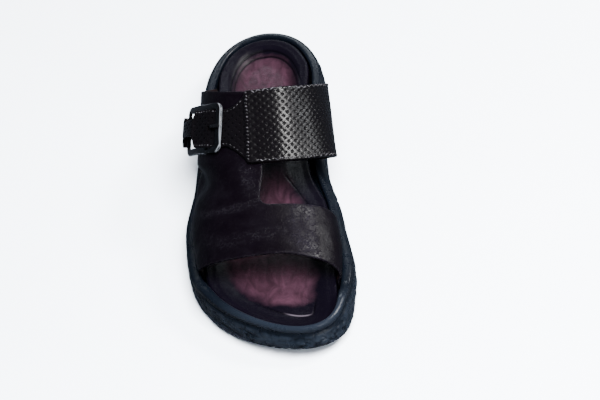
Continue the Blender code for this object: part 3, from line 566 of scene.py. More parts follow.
def line_groove(distance, width):
    """Profile of an embossed line: 1 in its middle, 0 beyond its width."""
    return 1.0 - smooth_step(np.abs(distance) / (0.5 * width))


def between(a, b, share):
    """Value or point at a share of the way from a to b."""
    return a + (b - a) * share


def unit(vectors):
    """Vectors of length 1 in the same directions."""
    return vectors / np.linalg.norm(vectors, axis=-1, keepdims=True)


def softened(lines):
    """Every inner row of the lines, drawn towards its neighbours."""
    return 0.25 * lines[:-2] + 0.5 * lines[1:-1] + 0.25 * lines[2:]


def shaded(colour, share):
    """A colour made darker or lighter."""
    return tuple(share * v for v in colour)


def groove_share(along, side):
    """1 where a band stands in the groove beside the footbed, less where the groove is closed."""
    share = np.zeros(np.shape(along))
    for row in GROOVE_PARTS:
        inside = window(along, row["start"] - GROOVE_FADE, row["end"] + GROOVE_FADE, GROOVE_FADE)
        share = np.maximum(share, np.where(side * row["side"] > 0, inside, 0.0) * row["share"])
    return share


def curve_value(table, column, at):
    """Value of a table column at a place along it, on a smooth curve that never overshoots."""
    xs = np.array([row["along"] for row in table])
    ys = np.array([row[column] for row in table])
    steps = np.diff(xs)
    slopes = np.diff(ys) / steps
    tangents = np.zeros(len(xs))
    for i in range(1, len(xs) - 1):
        if slopes[i - 1] * slopes[i] > 0:
            near = 2.0 * steps[i] + steps[i - 1]
            far = steps[i] + 2.0 * steps[i - 1]
            tangents[i] = (near + far) / (near / slopes[i - 1] + far / slopes[i])
    tangents[0] = slopes[0]
    tangents[-1] = slopes[-1]
    at = np.clip(np.asarray(at, dtype=float), xs[0], xs[-1])
    span = np.clip(np.searchsorted(xs, at, side="right") - 1, 0, len(xs) - 2)
    t = (at - xs[span]) / steps[span]
    start = (1 + 2 * t) * (1 - t) ** 2 * ys[span] + t * (1 - t) ** 2 * steps[span] * tangents[span]
    end = t * t * (3 - 2 * t) * ys[span + 1] - t * t * (1 - t) * steps[span] * tangents[span + 1]
    return start + end


def half_width(along):
    """Half the sole's width, rounded off at heel and toe."""
    heel = np.clip(1.0 - along / HEEL_ROUND, 0.0, 1.0) ** HEEL_POWER
    toe = np.clip(1.0 - (1.0 - along) / TOE_ROUND, 0.0, 1.0) ** TOE_POWER
    ends = (1.0 - heel) ** (1.0 / HEEL_POWER) * (1.0 - toe) ** (1.0 / TOE_POWER)
    return BALL_WIDTH * curve_value(SOLE_SECTIONS, "half", along) * ends


def outline(along, side):
    """Points of the sole's outline. side is +1 on the medial side and -1 on the lateral side."""
    x = BALL_WIDTH * curve_value(SOLE_SECTIONS, "centre", along) + side * half_width(along)
    return np.stack([x + FRAME_SHIFT, SHOE_LENGTH * (0.5 - along)], axis=-1)


def outline_inset(turn, inset):
    """Point of the outline moved inwards. turn runs once round from the heel, medial side first."""
    def at(t):
        return outline(along_of(t), np.where(np.mod(t, 1.0) < 0.5, 1.0, -1.0))

    ahead = unit(at(turn + TURN_PROBE) - at(turn - TURN_PROBE))
    inward = np.stack([ahead[..., 1], -ahead[..., 0]], axis=-1)
    return at(turn) + inward * np.expand_dims(inset, -1)


def turn_of(along, side):
    """Turn round the outline at a place along one side."""
    turn = np.arccos(1.0 - 2.0 * along) / (2.0 * math.pi)
    return np.where(side > 0, turn, 1.0 - turn)


def along_of(turn):
    """Share of the length at a turn round the outline, even on both sides."""
    return 0.5 * (1.0 - np.cos(2.0 * math.pi * turn))


def side_rim_height(along):
    """Height of the rim on the side, without the toe bumper."""
    return HEEL_RIM_HEIGHT * curve_value(SOLE_SECTIONS, "rim", along)


def rim_height(along, side):
    """Rim height with the toe bumper, which begins just ahead of the vamp on either side."""
    place = np.where(side > 0, TOE_STEP_MEDIAL, TOE_STEP_LATERAL)
    step = smooth_step((along - place) / TOE_STEP_LENGTH + 0.5)
    return side_rim_height(along) + TOE_STEP_RISE * step


def toe_spring(along):
    """How far the sole rises towards the toe."""
    return TOE_SPRING * np.clip((along - TOE_SPRING_START) / (1.0 - TOE_SPRING_START), 0, 1) ** 2


def tread_height(along):
    """Height of the underside: flat at heel and forefoot, lifted at the arch, heel and toe."""
    roll = HEEL_ROLL * np.clip(1.0 - along / HEEL_ROLL_END, 0.0, 1.0) ** 2
    arch = window(along, ARCH_START, ARCH_END, (ARCH_END - ARCH_START) / 3.0)
    return toe_spring(along) + roll + ARCH_LIFT * arch


def wall_lean(along):
    """How far the top of the side wall stands inside its foot."""
    toe = smooth_step((along - TOE_LEAN_START) / (1.0 - TOE_LEAN_START))
    heel = smooth_step((HEEL_LEAN_END - along) / HEEL_LEAN_END)
    return SIDE_LEAN + TOE_LEAN * toe + HEEL_LEAN * heel


def cup_floor(along):
    """Height of the floor inside the cup sole."""
    return CUP_FLOOR + 0.4 * toe_spring(along)


def bed_edge_height(along):
    """Height of the footbed's raised edge."""
    heel = smooth_step((HEEL_LEAN_END - along) / HEEL_LEAN_END)
    return side_rim_height(along) - BED_DROP - HEEL_BED_DROP * heel


def bed_height(along, across, width):
    """Top of the footbed inside its raised edge. across runs from -1 lateral to 1 medial."""
    side_way = (1.0 - np.abs(across)) * width
    end_way = SHOE_LENGTH * np.minimum(along, 1.0 - along)
    way = side_way * end_way / np.maximum(side_way + end_way, 1e-6)
    inner = smooth_step(way / DISH_BORDER)
    hollow = HEEL_DISH * curve_value(SOLE_SECTIONS, "dish", along) * inner
    waist = window(along, ARCH_SUPPORT_START, ARCH_SUPPORT_END,
                   0.4 * (ARCH_SUPPORT_END - ARCH_SUPPORT_START))
    support = ARCH_SUPPORT * waist * smooth_step((across + 0.1) / 0.9) * inner
    return bed_edge_height(along) - hollow + support


class Surface:
    """Points and faces of one mesh, gathered piece by piece."""

    def __init__(self):
        self.points = []
        self.count = 0
        self.faces = []
        self.slots = []

    def add(self, points):
        """Takes in points of any layout and gives their numbers in the same layout."""
        points = np.asarray(points, dtype=float)
        index = np.arange(self.count, self.count + points[..., 0].size).reshape(points.shape[:-1])
        self.points.append(points.reshape(-1, 3))
        self.count += index.size
        return index

    def face(self, corners, slot=0):
        """One face with any number of corners."""
        self.faces.append([int(c) for c in corners])
        self.slots.append(slot)

    def join(self, a, b, slot=0, closed=False):
        """Faces between two rows of equal length."""
        if closed:
            a = np.append(a, a[:1])
            b = np.append(b, b[:1])
        made = np.stack([a[:-1], a[1:], b[1:], b[:-1]], axis=-1)
        self.faces.extend(made.tolist())
        self.slots.extend([slot] * len(made))

    def grid(self, index, slot=0, closed=False):
        """Faces between all rows of a layout."""
        for a, b in zip(index, index[1:]):
            self.join(a, b, slot, closed)

    def tube(self, points, closed=False):
        """Rings of points as a tube, with a face over both ends unless it runs in a ring."""
        index = self.add(points)
        self.grid(index, closed=True)
        if closed:
            self.join(index[-1], index[0], closed=True)
        else:
            self.face(index[0][::-1])
            self.face(index[-1])

    def wall(self, turns, insets, heights):
        """Rings along the sole's outline, moved inwards and joined one above the other."""
        rings = [self.add(np.column_stack([outline_inset(turns, inset), height]))
                 for inset, height in zip(insets, heights)]
        for lower, upper in zip(rings, rings[1:]):
            self.join(lower, upper, closed=True)
        return rings

    def cap(self, edge, columns, height, slot=0):
        """Rows from the lateral to the medial side inside a ring, at the heights of a function."""
        count = len(edge)
        half_count = count // 2
        ring = np.concatenate(self.points)[edge]
        i = np.arange(1, half_count)
        medial = ring[i]
        lateral = ring[count - i]
        along = along_of(i / count)
        half = 0.5 * np.linalg.norm(medial - lateral, axis=-1)
        share = np.arange(1, columns + 1) / (columns + 1)
        inside = lateral[:, None] + (medial - lateral)[:, None] * share[None, :, None]
        across = np.broadcast_to(2.0 * share[None] - 1.0, inside.shape[:2])
        along = np.broadcast_to(along[:, None], across.shape)
        inside[..., 2] = height(along, across, np.broadcast_to(half[:, None], across.shape), inside)
        index = self.add(inside)
        index = np.concatenate([edge[count - i][:, None], index, edge[i][:, None]], axis=1)
        self.grid(index, slot)
        for tip, row in ((edge[0], index[0]), (edge[half_count], index[-1])):
            for a, b in zip(row, row[1:]):
                self.face((tip, a, b), slot)
        return index

    def build(self, name, materials, values=None, sharp=180.0):
        """Makes the object. values: name to an array with one number for each point."""
        mesh = bpy.data.meshes.new(name)
        mesh.from_pydata(np.concatenate(self.points).tolist(), [], self.faces)
        mesh.polygons.foreach_set("material_index", self.slots)
        for label, numbers in (values or {}).items():
            layer = mesh.attributes.new(label, "FLOAT", "POINT")
            layer.data.foreach_set("value", np.asarray(numbers, dtype=np.float32).ravel())
        shape = bmesh.new()
        shape.from_mesh(mesh)
        bmesh.ops.delete(shape, geom=[v for v in shape.verts if not v.link_faces], context="VERTS")
        bmesh.ops.recalc_face_normals(shape, faces=shape.faces)
        shape.to_mesh(mesh)
        shape.free()
        mesh.shade_smooth()
        if sharp < 180.0:
            mesh.set_sharp_from_angle(angle=math.radians(sharp))
        for material in materials:
            mesh.materials.append(material)
        piece = bpy.data.objects.new(name, mesh)
        bpy.context.scene.collection.objects.link(piece)
        return piece


def finish_piece(piece, slot, *nodes):
    """Sets the body and hides the nodes that the piece stands for; slot is not used."""
    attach(piece, "root")
    if nodes:
        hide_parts(*nodes)


class Recipe:
    """A material's node tree, with short calls to add and link nodes."""

    def __init__(self, name):
        self.material = bpy.data.materials.new(name)
        self.material.use_nodes = True
        self.tree = self.material.node_tree
        self.shader = self.tree.nodes["Principled BSDF"]
        self.place = self.node("ShaderNodeTexCoord").outputs["Object"]

    def node(self, kind, links=None, **settings):
        made = self.tree.nodes.new(kind)
        for key, value in settings.items():
            if key in made.inputs:
                made.inputs[key].default_value = value
            else:
                setattr(made, key, value)
        for key, source in (links or {}).items():
            self.tree.links.new(source, made.inputs[key])
        return made

    def noise(self, size, detail=4.0, roughness=0.5, stretch=None, distortion=0.0):
        """Cloudy pattern from 0 to 1 with blobs of the given size in metres."""
        place = self.place
        if stretch:
            place = self.node("ShaderNodeMapping", {"Vector": place}, Scale=stretch).outputs[0]
        return self.node("ShaderNodeTexNoise", {"Vector": place}, Scale=1.0 / size, Detail=detail,
                         Roughness=roughness, Distortion=distortion).outputs["Fac"]

    def cells(self, size, feature="F1"):
        return self.node("ShaderNodeTexVoronoi", {"Vector": self.place}, feature=feature,
                         Scale=1.0 / size).outputs["Distance"]

    def value(self, name):
        return self.node("ShaderNodeAttribute", attribute_name=name).outputs["Fac"]

    def ramp(self, source, low, high, low_value=0.0, high_value=1.0):
        """Maps a range onto another, clamped."""
        made = self.node("ShaderNodeMapRange", {"Value": source})
        for key, number in (("From Min", low), ("From Max", high), ("To Min", low_value),
                            ("To Max", high_value)):
            made.inputs[key].default_value = number
        return made.outputs["Result"]

    def maths(self, operation, a, b):
        made = self.node("ShaderNodeMath", operation=operation)
        for i, term in enumerate((a, b)):
            if isinstance(term, (int, float)):
                made.inputs[i].default_value = term
            else:
                self.tree.links.new(term, made.inputs[i])
        return made.outputs[0]

    def mix(self, share, low, high):
        """Colour between two colours, each a tuple or another node's output."""
        made = self.node("ShaderNodeMix", data_type="RGBA")
        self.tree.links.new(share, made.inputs[0])
        colour_inputs = [s for s in made.inputs if s.type == "RGBA"]
        for socket, colour in zip(colour_inputs, (low, high)):
            if isinstance(colour, bpy.types.NodeSocket):
                self.tree.links.new(colour, socket)
            else:
                socket.default_value = (*colour[:3], 1.0)
        return [s for s in made.outputs if s.type == "RGBA"][0]

    def colour(self, source):
        self.tree.links.new(source, self.shader.inputs["Base Color"])

    def roughness(self, source):
        self.tree.links.new(source, self.shader.inputs["Roughness"])

    def bump(self, *layers):
        """Relief from layers of height source and depth in metres, stacked."""
        normal = None
        for source, depth in layers:
            links = {"Height": source}
            if normal:
                links["Normal"] = normal
            normal = self.node("ShaderNodeBump", links, Strength=1.0, Distance=depth).outputs[0]
        self.tree.links.new(normal, self.shader.inputs["Normal"])

    def gloss(self, **settings):
        for key, number in settings.items():
            self.shader.inputs[key.replace("_", " ")].default_value = number


def rubber_material():
    """Matt moulded rubber with raised spots lighter as wear and as painted glints, and a painted
    sheen on the toe rim.
    """
    r = Recipe("moulded_rubber")
    c = colours()
    relief = r.value("relief")
    patches = r.ramp(r.noise(0.018, 5.0, 0.6), 0.35, 0.7)
    # Raised rock facets are lightened, partly as worn rubber and partly as painted glints.
    worn_and_glint = r.maths("MULTIPLY", r.ramp(relief, 0.58, 0.95),
                   r.ramp(r.noise(0.006), 0.3, 0.7, 0.35, 1.0))
    base = r.mix(patches, c.rubber, shaded(c.rubber, 1.35))
    # Painted sheen on the top of the rim at the toe, mixed in last.
    r.colour(r.mix(r.value("rim_sheen"), r.mix(worn_and_glint, base, c.rubber_worn_and_glint), c.rubber_rim_sheen))
    r.roughness(r.ramp(r.noise(0.004, 6.0), 0.3, 0.75, 0.24, 0.40))
    r.bump((r.noise(0.0014, 5.0, 0.6), 0.00006), (r.noise(0.00035, 3.0), 0.00003))
    r.gloss(Specular_IOR_Level=0.16)
    return r.material


def footbed_material():
    """Polished leather, darker at its edge and in its embossed lines, with painted highlights at
    the toe.
    """
    r = Recipe("burnished_footbed_leather")
    c = colours()
    # middle: lighter middle, partly rubbed leather and partly a painted sheen at the heel, darkened
    # by a painted shadow of the strap.
    middle = r.value("middle")
    cloud = r.noise(0.016, 6.0, 0.62, distortion=0.6)
    smear = r.noise(0.007, 5.0, 0.6, stretch=(1.0, 0.45, 1.0), distortion=1.2)
    spread = r.maths("ADD", middle, r.maths("MULTIPLY", r.maths("SUBTRACT", cloud, 0.5), 0.9))
    share = r.ramp(spread, 0.18, 0.95)
    dark = r.mix(r.ramp(smear, 0.35, 0.65), shaded(c.bed, 0.42), c.bed)
    pressed = r.mix(r.value("line"), r.mix(share, c.bed_edge, dark), shaded(c.bed_edge, 0.4))
    # mark: painted highlights along the toe line and the toe edge.
    r.colour(r.mix(r.value("mark"), pressed, c.bed_highlight))
    r.roughness(r.ramp(r.noise(0.005, 5.0), 0.3, 0.7, 0.30, 0.46))
    grain = r.cells(0.0011, "SMOOTH_F1")
    r.bump((r.noise(0.006, 5.0, 0.6), 0.00030), (grain, 0.00008), (r.noise(0.0004), 0.00003))
    r.gloss(Specular_IOR_Level=0.07)
    return r.material


def vamp_material():
    """Burnished leather with clouds, scratches and rubbed places, which on the medial vamp also
    carry a painted highlight.
    """
    r = Recipe("burnished_vamp_leather")
    c = colours()
    cloud = r.ramp(r.noise(0.020, 6.0, 0.65, distortion=0.8), 0.42, 0.72)
    scratch = r.noise(0.0024, 5.0, 0.7, stretch=(0.35, 1.0, 1.0), distortion=1.5)
    scratch = r.ramp(scratch, 0.55, 0.75)
    rub = r.value("rub")
    crackle = r.ramp(r.cells(0.0021, "DISTANCE_TO_EDGE"), 0.02, 0.10, 1.0, 0.0)
    marks = r.maths("MULTIPLY", crackle, r.ramp(r.noise(0.0035), 0.45, 0.6))
    marks = r.maths("MAXIMUM", scratch, marks)
    share = r.maths("MULTIPLY", cloud, r.ramp(scratch, 0.0, 1.0, 0.35, 1.0))
    # Rubbed places are painted lighter as scuffs, and on the medial vamp also as a painted
    # highlight.
    share = r.maths("MAXIMUM", r.maths("MULTIPLY", share, 0.30),
                    r.maths("MULTIPLY", rub, r.ramp(marks, 0.0, 1.0, 0.22, 1.0)))
    r.colour(r.mix(share, c.vamp, c.vamp_cloud))
    r.roughness(r.maths("ADD", r.ramp(r.noise(0.009, 5.0), 0.3, 0.7, 0.30, 0.44),
                        r.maths("MULTIPLY", scratch, 0.12)))
    grain = r.cells(0.0010, "SMOOTH_F1")
    creased = r.maths("MULTIPLY", marks, r.ramp(rub, 0.1, 0.7, 0.1, 1.0))
    r.bump((r.noise(0.012, 4.0, 0.55), 0.0005), (grain, 0.00008), (creased, 0.00040),
           (r.noise(0.00035), 0.00003))
    r.gloss(Specular_IOR_Level=0.08)
    return r.material


def strap_material():
    """Leather whose raised strands shine more than the hollows, which are painted darker as shade.
    """
    r = Recipe("woven_strap_leather")
    c = colours()
    weave = r.value("weave")
    cloud = r.ramp(r.noise(0.014, 5.0, 0.6), 0.35, 0.7, 0.55, 1.0)
    # The hollows between raised strands get a darker colour as painted shade.
    raised = r.maths("MULTIPLY", r.ramp(weave, 0.10, 0.62), cloud)
    r.colour(r.mix(raised, c.strap_hollow_shade, c.strap))
    r.roughness(r.ramp(raised, 0.0, 1.0, 0.55, 0.20))
    r.bump((r.noise(0.0012, 5.0, 0.6), 0.00003), (r.noise(0.0003), 0.00001))
    r.gloss(Specular_IOR_Level=0.11)
    return r.material


def plain_leather_material(name, low, high, rough):
    """Smooth leather between two colours."""
    r = Recipe(name)
    r.colour(r.mix(r.ramp(r.noise(0.008, 5.0, 0.6), 0.35, 0.7), low, high))
    r.roughness(r.ramp(r.noise(0.004, 5.0), 0.3, 0.7, rough - 0.08, rough + 0.08))
    r.bump((r.cells(0.0009, "SMOOTH_F1"), 0.00008), (r.noise(0.0004, 5.0), 0.00004))
    r.gloss(Specular_IOR_Level=0.16)
    return r.material


def thread_material():
    """Twisted thread, mostly dark with pale strands."""
    r = Recipe("waxed_thread")
    c = colours()
    r.colour(r.mix(r.ramp(r.noise(0.0016, 4.0), 0.47, 0.66), shaded(c.thread, 0.04), c.thread))
    r.roughness(r.ramp(r.noise(0.002, 4.0), 0.3, 0.7, 0.30, 0.48))
    r.bump((r.noise(0.0005, 4.0, 0.6, stretch=(1.0, 2.0, 1.0)), 0.00008))
    r.gloss(Specular_IOR_Level=0.3)
    return r.material


def metal_material(name, low, high, rough, edge=None):
    """Lacquered metal between two colours, with a painted highlight along its edge if an edge
    colour is given.
    """
    r = Recipe(name)
    paint = r.mix(r.ramp(r.noise(0.006, 5.0, 0.6), 0.4, 0.75), low, high)
    r.colour(r.mix(r.value("edge"), paint, edge) if edge else paint)
    r.roughness(r.ramp(r.noise(0.003, 6.0, 0.65), 0.3, 0.75, rough, rough + 0.09))
    r.bump((r.noise(0.0016, 4.0), 0.00003))
    r.gloss(Specular_IOR_Level=0.20)
    return r.material


def floor_material():
    """Pale matt floor with faint clouds."""
    r = Recipe("studio_floor")
    c = colours().floor
    r.colour(r.mix(r.ramp(r.noise(0.25, 3.0), 0.3, 0.7), shaded(c, 0.97), c))
    r.roughness(r.ramp(r.noise(0.05, 3.0), 0.3, 0.7, 0.55, 0.7))
    return r.material


def rocky_relief(way, height, perimeter, length, rise, seed):
    """Relief from 0 to 1 of tilted facets with creases between, round the sole's side wall."""
    random = np.random.default_rng(seed)
    columns = int(round(perimeter / length))
    rows = int(math.ceil(WALL_REACH / rise)) + 2
    shift_u, shift_v = random.uniform(-FACET_SHIFT, FACET_SHIFT, (2, columns, rows))
    tilt_u, tilt_v = random.uniform(-FACET_TILT, FACET_TILT, (2, columns, rows))
    level = random.uniform(0.0, FACET_STEP, (columns, rows))
    u = way / perimeter * columns
    v = height / rise + 1.0
    best = np.full(np.shape(u), -9.0)
    for du in (-1, 0, 1):
        for dv in (-1, 0, 1):
            cell_u = np.floor(u).astype(int) + du
            cell_v = np.clip(np.floor(v).astype(int) + dv, 0, rows - 1)
            k = cell_u % columns
            off_u = u - (cell_u + 0.5 + shift_u[k, cell_v])
            off_v = v - (cell_v + 0.5 + shift_v[k, cell_v])
            fall = FACET_FALL * np.sqrt(off_u ** 2 + off_v ** 2 + 0.02)
            plane = level[k, cell_v] + tilt_u[k, cell_v] * off_u + tilt_v[k, cell_v] * off_v - fall
            best = np.maximum(best, plane)
    return np.clip((best + 0.9) / 1.3, 0.0, 1.0)


def rows_through(rows):
    """Inset and height of each ring on the way through the rows, and the row it starts from."""
    insets = []
    heights = []
    starts = []
    for row, following in zip(rows, rows[1:]):
        for k in range(row[2]):
            insets.append(between(row[0], following[0], k / row[2]))
            heights.append(between(row[1], following[1], k / row[2]))
            starts.append(row)
    return (np.array(insets + [rows[-1][0]]), np.array(heights + [rows[-1][1]]),
            starts + [rows[-1]])


def make_sole():
    """Cup sole: side wall, rim, tread and the inside of the cup."""
    s = sizes()
    turns = np.arange(SOLE_POINTS) / SOLE_POINTS
    along = along_of(turns)
    tread = tread_height(along)
    rim = rim_height(along, np.where(turns < 0.5, 1.0, -1.0))
    lean = wall_lean(along)
    shoulder = rim - LIP_HEIGHT
    wall = shoulder - tread
    flat = np.zeros(SOLE_POINTS)
    groove_half = 0.5 * LIP_GROOVE_WIDTH
    # Each row: inset, height, rows on the way to the next, and whether corners there are softened.
    rows = (
        (TREAD_EDGE + 0.3 * lean, tread, 4, True),
        (flat + 0.3 * TREAD_EDGE, tread + 0.4 * FOOT_ROUND, 4, True),
        (flat, tread + FOOT_ROUND, 14, True),
        (0.25 * lean, tread + 0.55 * wall, 14, True),
        (lean, shoulder - groove_half, 4, True),
        (lean + LIP_GROOVE, shoulder, 4, True),
        (lean + 0.4 * LIP_GROOVE, shoulder + groove_half, 3, True),
        (lean + 0.3 * LIP_GROOVE, rim - 0.5 * LIP_ROUND, 4, True),
        (lean + 0.55 * LIP_ROUND, rim - 0.1 * LIP_ROUND, 4, True),
        (lean + LIP_ROUND, rim, 4, True),
        (flat + RIM_WIDTH - RIM_EDGE, rim, 3, True),
        (flat + RIM_WIDTH, rim - RIM_EDGE, 3, False),
        (flat + RIM_WIDTH, cup_floor(along), 0, False),
    )
    inset, height, starts = rows_through(rows)
    soft = np.array([row[3] for row in starts])
    for _ in range(3):
        for lines in (inset, height):
            lines[1:-1] = np.where(soft[1:-1, None], softened(lines), lines[1:-1])
    edge_points = outline_inset(turns, flat)
    steps = np.linalg.norm(np.roll(edge_points, -1, axis=0) - edge_points, axis=1)
    perimeter = steps.sum()
    way = np.broadcast_to(np.concatenate([[0.0], np.cumsum(steps)[:-1]]), inset.shape)
    rock = sum(share * rocky_relief(way, height, perimeter, size * s.rock_length,
                                    size * s.rock_height, seed)
               for share, size, seed in ((ROCK_COARSE_SHARE, 1.0, ROCK_SEEDS[0]),
                                         (1.0 - ROCK_COARSE_SHARE, ROCK_FINE_SIZE, ROCK_SEEDS[1])))
    mask = window(height, tread + ROCK_FOOT, shoulder - ROCK_TOP, ROCK_FOOT_FADE, ROCK_TOP_FADE)
    inset = inset + s.rock_depth * mask * (ROCK_LEVEL - rock)
    sole = Surface()
    rings = sole.wall(turns, inset, height)
    lines = np.concatenate([np.linspace(HEEL_TREAD_START, HEEL_TREAD_END, HEEL_GROOVES),
                            np.linspace(FORE_TREAD_START, FORE_TREAD_END, FORE_GROOVES)])

    def under(along, across, half, points):
        side_way = (1.0 - np.abs(across)) * half
        depth = np.zeros(along.shape)
        for line in lines:
            off = np.abs(along - line) * SHOE_LENGTH
            depth = np.maximum(depth, smooth_step(
                (0.5 * (TREAD_GROOVE + TREAD_SOFTNESS) - off) / TREAD_SOFTNESS))
        depth = depth * smooth_step((side_way - TREAD_BORDER + TREAD_EDGE + TREAD_SOFTNESS)
                                    / (2.0 * TREAD_SOFTNESS))
        waves = np.cos(2 * math.pi * points[..., :2] / PAD_SPACING)
        pads = smooth_step((0.5 + 0.5 * waves[..., 0] * waves[..., 1] - 0.60) / 0.2)
        fine = PAD_DEPTH * smooth_step((side_way - PAD_BORDER) / (0.5 * PAD_BORDER)) * pads
        return tread_height(along) + TREAD_DEPTH * depth + fine * (1.0 - depth)

    sole.cap(rings[0], SOLE_UNDER_COLUMNS, under)
    sole.cap(rings[-1], CUP_COLUMNS, lambda along, across, half, points: cup_floor(along))
    shown = {"relief": between(PLAIN_RELIEF, rock, mask)}
    ahead = -np.concatenate(sole.points)[:rock.size, 1].reshape(rock.shape)
    # Painted sheen on the top of the rim at the toe.
    shown["rim_sheen"] = (smooth_step((ahead - RIM_SHEEN_START) / RIM_SHEEN_REACH)
                     * smooth_step((height - shoulder + RIM_SHEEN_DROP) / RIM_SHEEN_FADE))
    for name, values in shown.items():
        shown[name] = np.zeros(sole.count)
        shown[name][:rock.size] = values.ravel()
    piece = sole.build("cup_sole", [rubber_material()], shown)
    finish_piece(piece, "black_rubber", "outsole")


def bed_lines(points):
    """Embossed lines of the footbed as a share of their depth."""
    x = points[..., 0]
    y = points[..., 1]
    top = SHOE_LENGTH * (0.5 - HEEL_LINE_APEX)
    end = SHOE_LENGTH * (0.5 - HEEL_LINE_END)
    spring = top - HEEL_LINE_RISE
    off_x = np.abs(x - HEEL_LINE_SHIFT) / (HEEL_LINE_HALF + 0.05 * np.clip(spring - y, 0.0, 1.0))
    off_y = np.clip(y - spring, 0.0, 1.0) / HEEL_LINE_RISE
    power = HEEL_LINE_POWER
    radius = HEEL_LINE_HALF * (off_x ** power + off_y ** power) ** (1.0 / power)
    fade = smooth_step((y - end) / 0.012)
    lines = 0.0
    for k in (-0.5, 0.5):
        reach = HEEL_LINE_HALF + k * HEEL_LINE_GAP * 1.5
        lines = np.maximum(lines, line_groove(radius - reach, HEEL_LINE_GAP) * fade)
    for row in WAIST_LINES:
        dx = row["end_x"] - row["start_x"]
        dy = row["end_y"] - row["start_y"]
        length = math.hypot(dx, dy)
        t = ((x - row["start_x"]) * dx + (y - row["start_y"]) * dy) / length ** 2
        away = ((x - row["start_x"]) * dy - (y - row["start_y"]) * dx) / length
        ends = window(t, 0.0, 1.0, LINE_END_FADE)
        lines = np.maximum(lines, line_groove(away, WAIST_LINE_WIDTH) * ends)
    return lines


def make_footbed():
    """Footbed with its raised edge and lines, a lighter middle with a painted sheen at the heel and
    a painted strap shadow, and painted highlights at the toe.
    """
    s = sizes()
    bed = Surface()
    turns = np.arange(BED_POINTS) / BED_POINTS
    along = along_of(turns)
    share = groove_share(along, np.where(turns < 0.5, 1.0, -1.0))
    side = RIM_WIDTH + GROOVE_LEAST + (STRAP_GROOVE - GROOVE_LEAST) * share
    edge = bed_edge_height(along)
    flat = np.zeros(BED_POINTS)
    # Each row: inset, height, and rows on the way to the next.
    corners = (
        (flat + side, cup_floor(along) + SEAT_GAP, 2),
        (flat + side, edge - BED_ROUND, 2),
        (flat + side + 0.15 * BED_ROUND, edge - 0.5 * BED_ROUND, 2),
        (flat + side + 0.45 * BED_ROUND, edge - 0.2 * BED_ROUND, 2),
        (flat + side + 1.2 * BED_ROUND, edge, 2),
        (flat + side + BED_LIP, edge - 0.25 * BED_LIP_DROP, 2),
        (flat + side + 2.0 * BED_LIP, edge - BED_LIP_DROP, 0),
    )
    rings = bed.wall(turns, *rows_through(corners)[:2])
    edge_line = outline_inset(turns, flat + RIM_WIDTH)[::2]
    shown = {}

    def top(along, across, half, points):
        x, y = points[..., 0], points[..., 1]
        way = border_gap(points[..., :2].reshape(-1, 2), edge_line)[0].reshape(along.shape)
        toe_line = (line_groove(way - TOE_LINE_INSET, TOE_LINE_WIDTH)
                    * smooth_step((along - TOE_LINE_START) / 0.05))
        lines = np.maximum(bed_lines(points), toe_line)
        shown["line"] = lines * smooth_step((way - LINE_BORDER) / 0.003)
        # Lighter middle: partly rubbed leather, partly a painted sheen at the heel.
        heel = smooth_step((HEEL_MIDDLE_END - along) / 0.06)
        inset = between(MIDDLE_INSET, HEEL_MIDDLE_INSET, heel)
        fade = between(MIDDLE_FADE, HEEL_MIDDLE_FADE, heel)
        # Painted shadow of the strap across the footbed's waist.
        dark = window(y, STRAP_SHADOW_START, STRAP_SHADOW_END, STRAP_SHADOW_START_FADE, STRAP_SHADOW_END_FADE)
        shown["middle"] = (smooth_step((way - inset) / fade) * (1.0 - HEEL_MIDDLE_LOSS * heel)
                           * smooth_step((MIDDLE_TOE_END - along) / 0.045)
                           * (1.0 - STRAP_SHADOW_LOSS * dark))
        # Painted highlight along the toe line, and another along the toe edge.
        toe_line_highlight = (window(x, TOE_HIGHLIGHT_START, TOE_HIGHLIGHT_END, 0.008, 0.006)
                     * line_groove(way - TOE_LINE_INSET - TOE_HIGHLIGHT_SHIFT, 0.0016)
                     * (y < -TOE_HIGHLIGHT_AHEAD))
        toe_edge_highlight = (line_groove(way - EDGE_HIGHLIGHT_INSET, EDGE_HIGHLIGHT_WIDTH)
                     * smooth_step((along - EDGE_HIGHLIGHT_START) / 0.05))
        shown["mark"] = np.maximum(toe_line_highlight, EDGE_HIGHLIGHT_SHARE * toe_edge_highlight)
        return bed_height(along, across, half) - BED_LIP_DROP - s.bed_line_depth * shown["line"]

    bed.cap(rings[0], BED_UNDER_COLUMNS,
            lambda along, across, half, points: cup_floor(along) + SEAT_GAP)
    index = bed.cap(rings[-1], BED_COLUMNS, top)
    for name, values in shown.items():
        shown[name] = np.zeros(bed.count)
        shown[name][index[:, 1:-1].ravel()] = values.ravel()
    piece = bed.build("moulded_footbed", [footbed_material()], shown)
    finish_piece(piece, "brown_leather", "footbed")


def section_curve(lateral_foot, medial_foot, ridge, waists, rims, shoulder):
    """One section of the last as points from the lateral foot over the ridge to the medial foot."""
    halves = []
    for foot, waist, rim in zip((lateral_foot, medial_foot), waists, rims):
        t = np.linspace(0.0, 1.0, SECTION_SAMPLES)
        stem_z = foot[2] + (rim - foot[2]) * t
        stem_x = np.full(SECTION_SAMPLES, foot[0])
        side_z = rim + (waist[1] - rim) * t
        side_x = foot[0] + (waist[0] - foot[0]) * smooth_step(t)
        angle = 0.5 * math.pi * t
        power = 2.0 / shoulder
        top_x = ridge[0] + (waist[0] - ridge[0]) * np.cos(angle) ** power
        top_z = waist[1] + (ridge[2] - waist[1]) * np.sin(angle) ** power
        x = np.concatenate([stem_x, side_x[1:], top_x[1:]])
        z = np.concatenate([stem_z, side_z[1:], top_z[1:]])
        rise = np.clip((z - rim) / (ridge[2] - rim), 0.0, 1.0)
        y = foot[1] + (ridge[1] - foot[1]) * rise
        halves.append(np.stack([x, y, z], axis=-1))
    return np.concatenate([halves[0], halves[1][::-1][1:]])


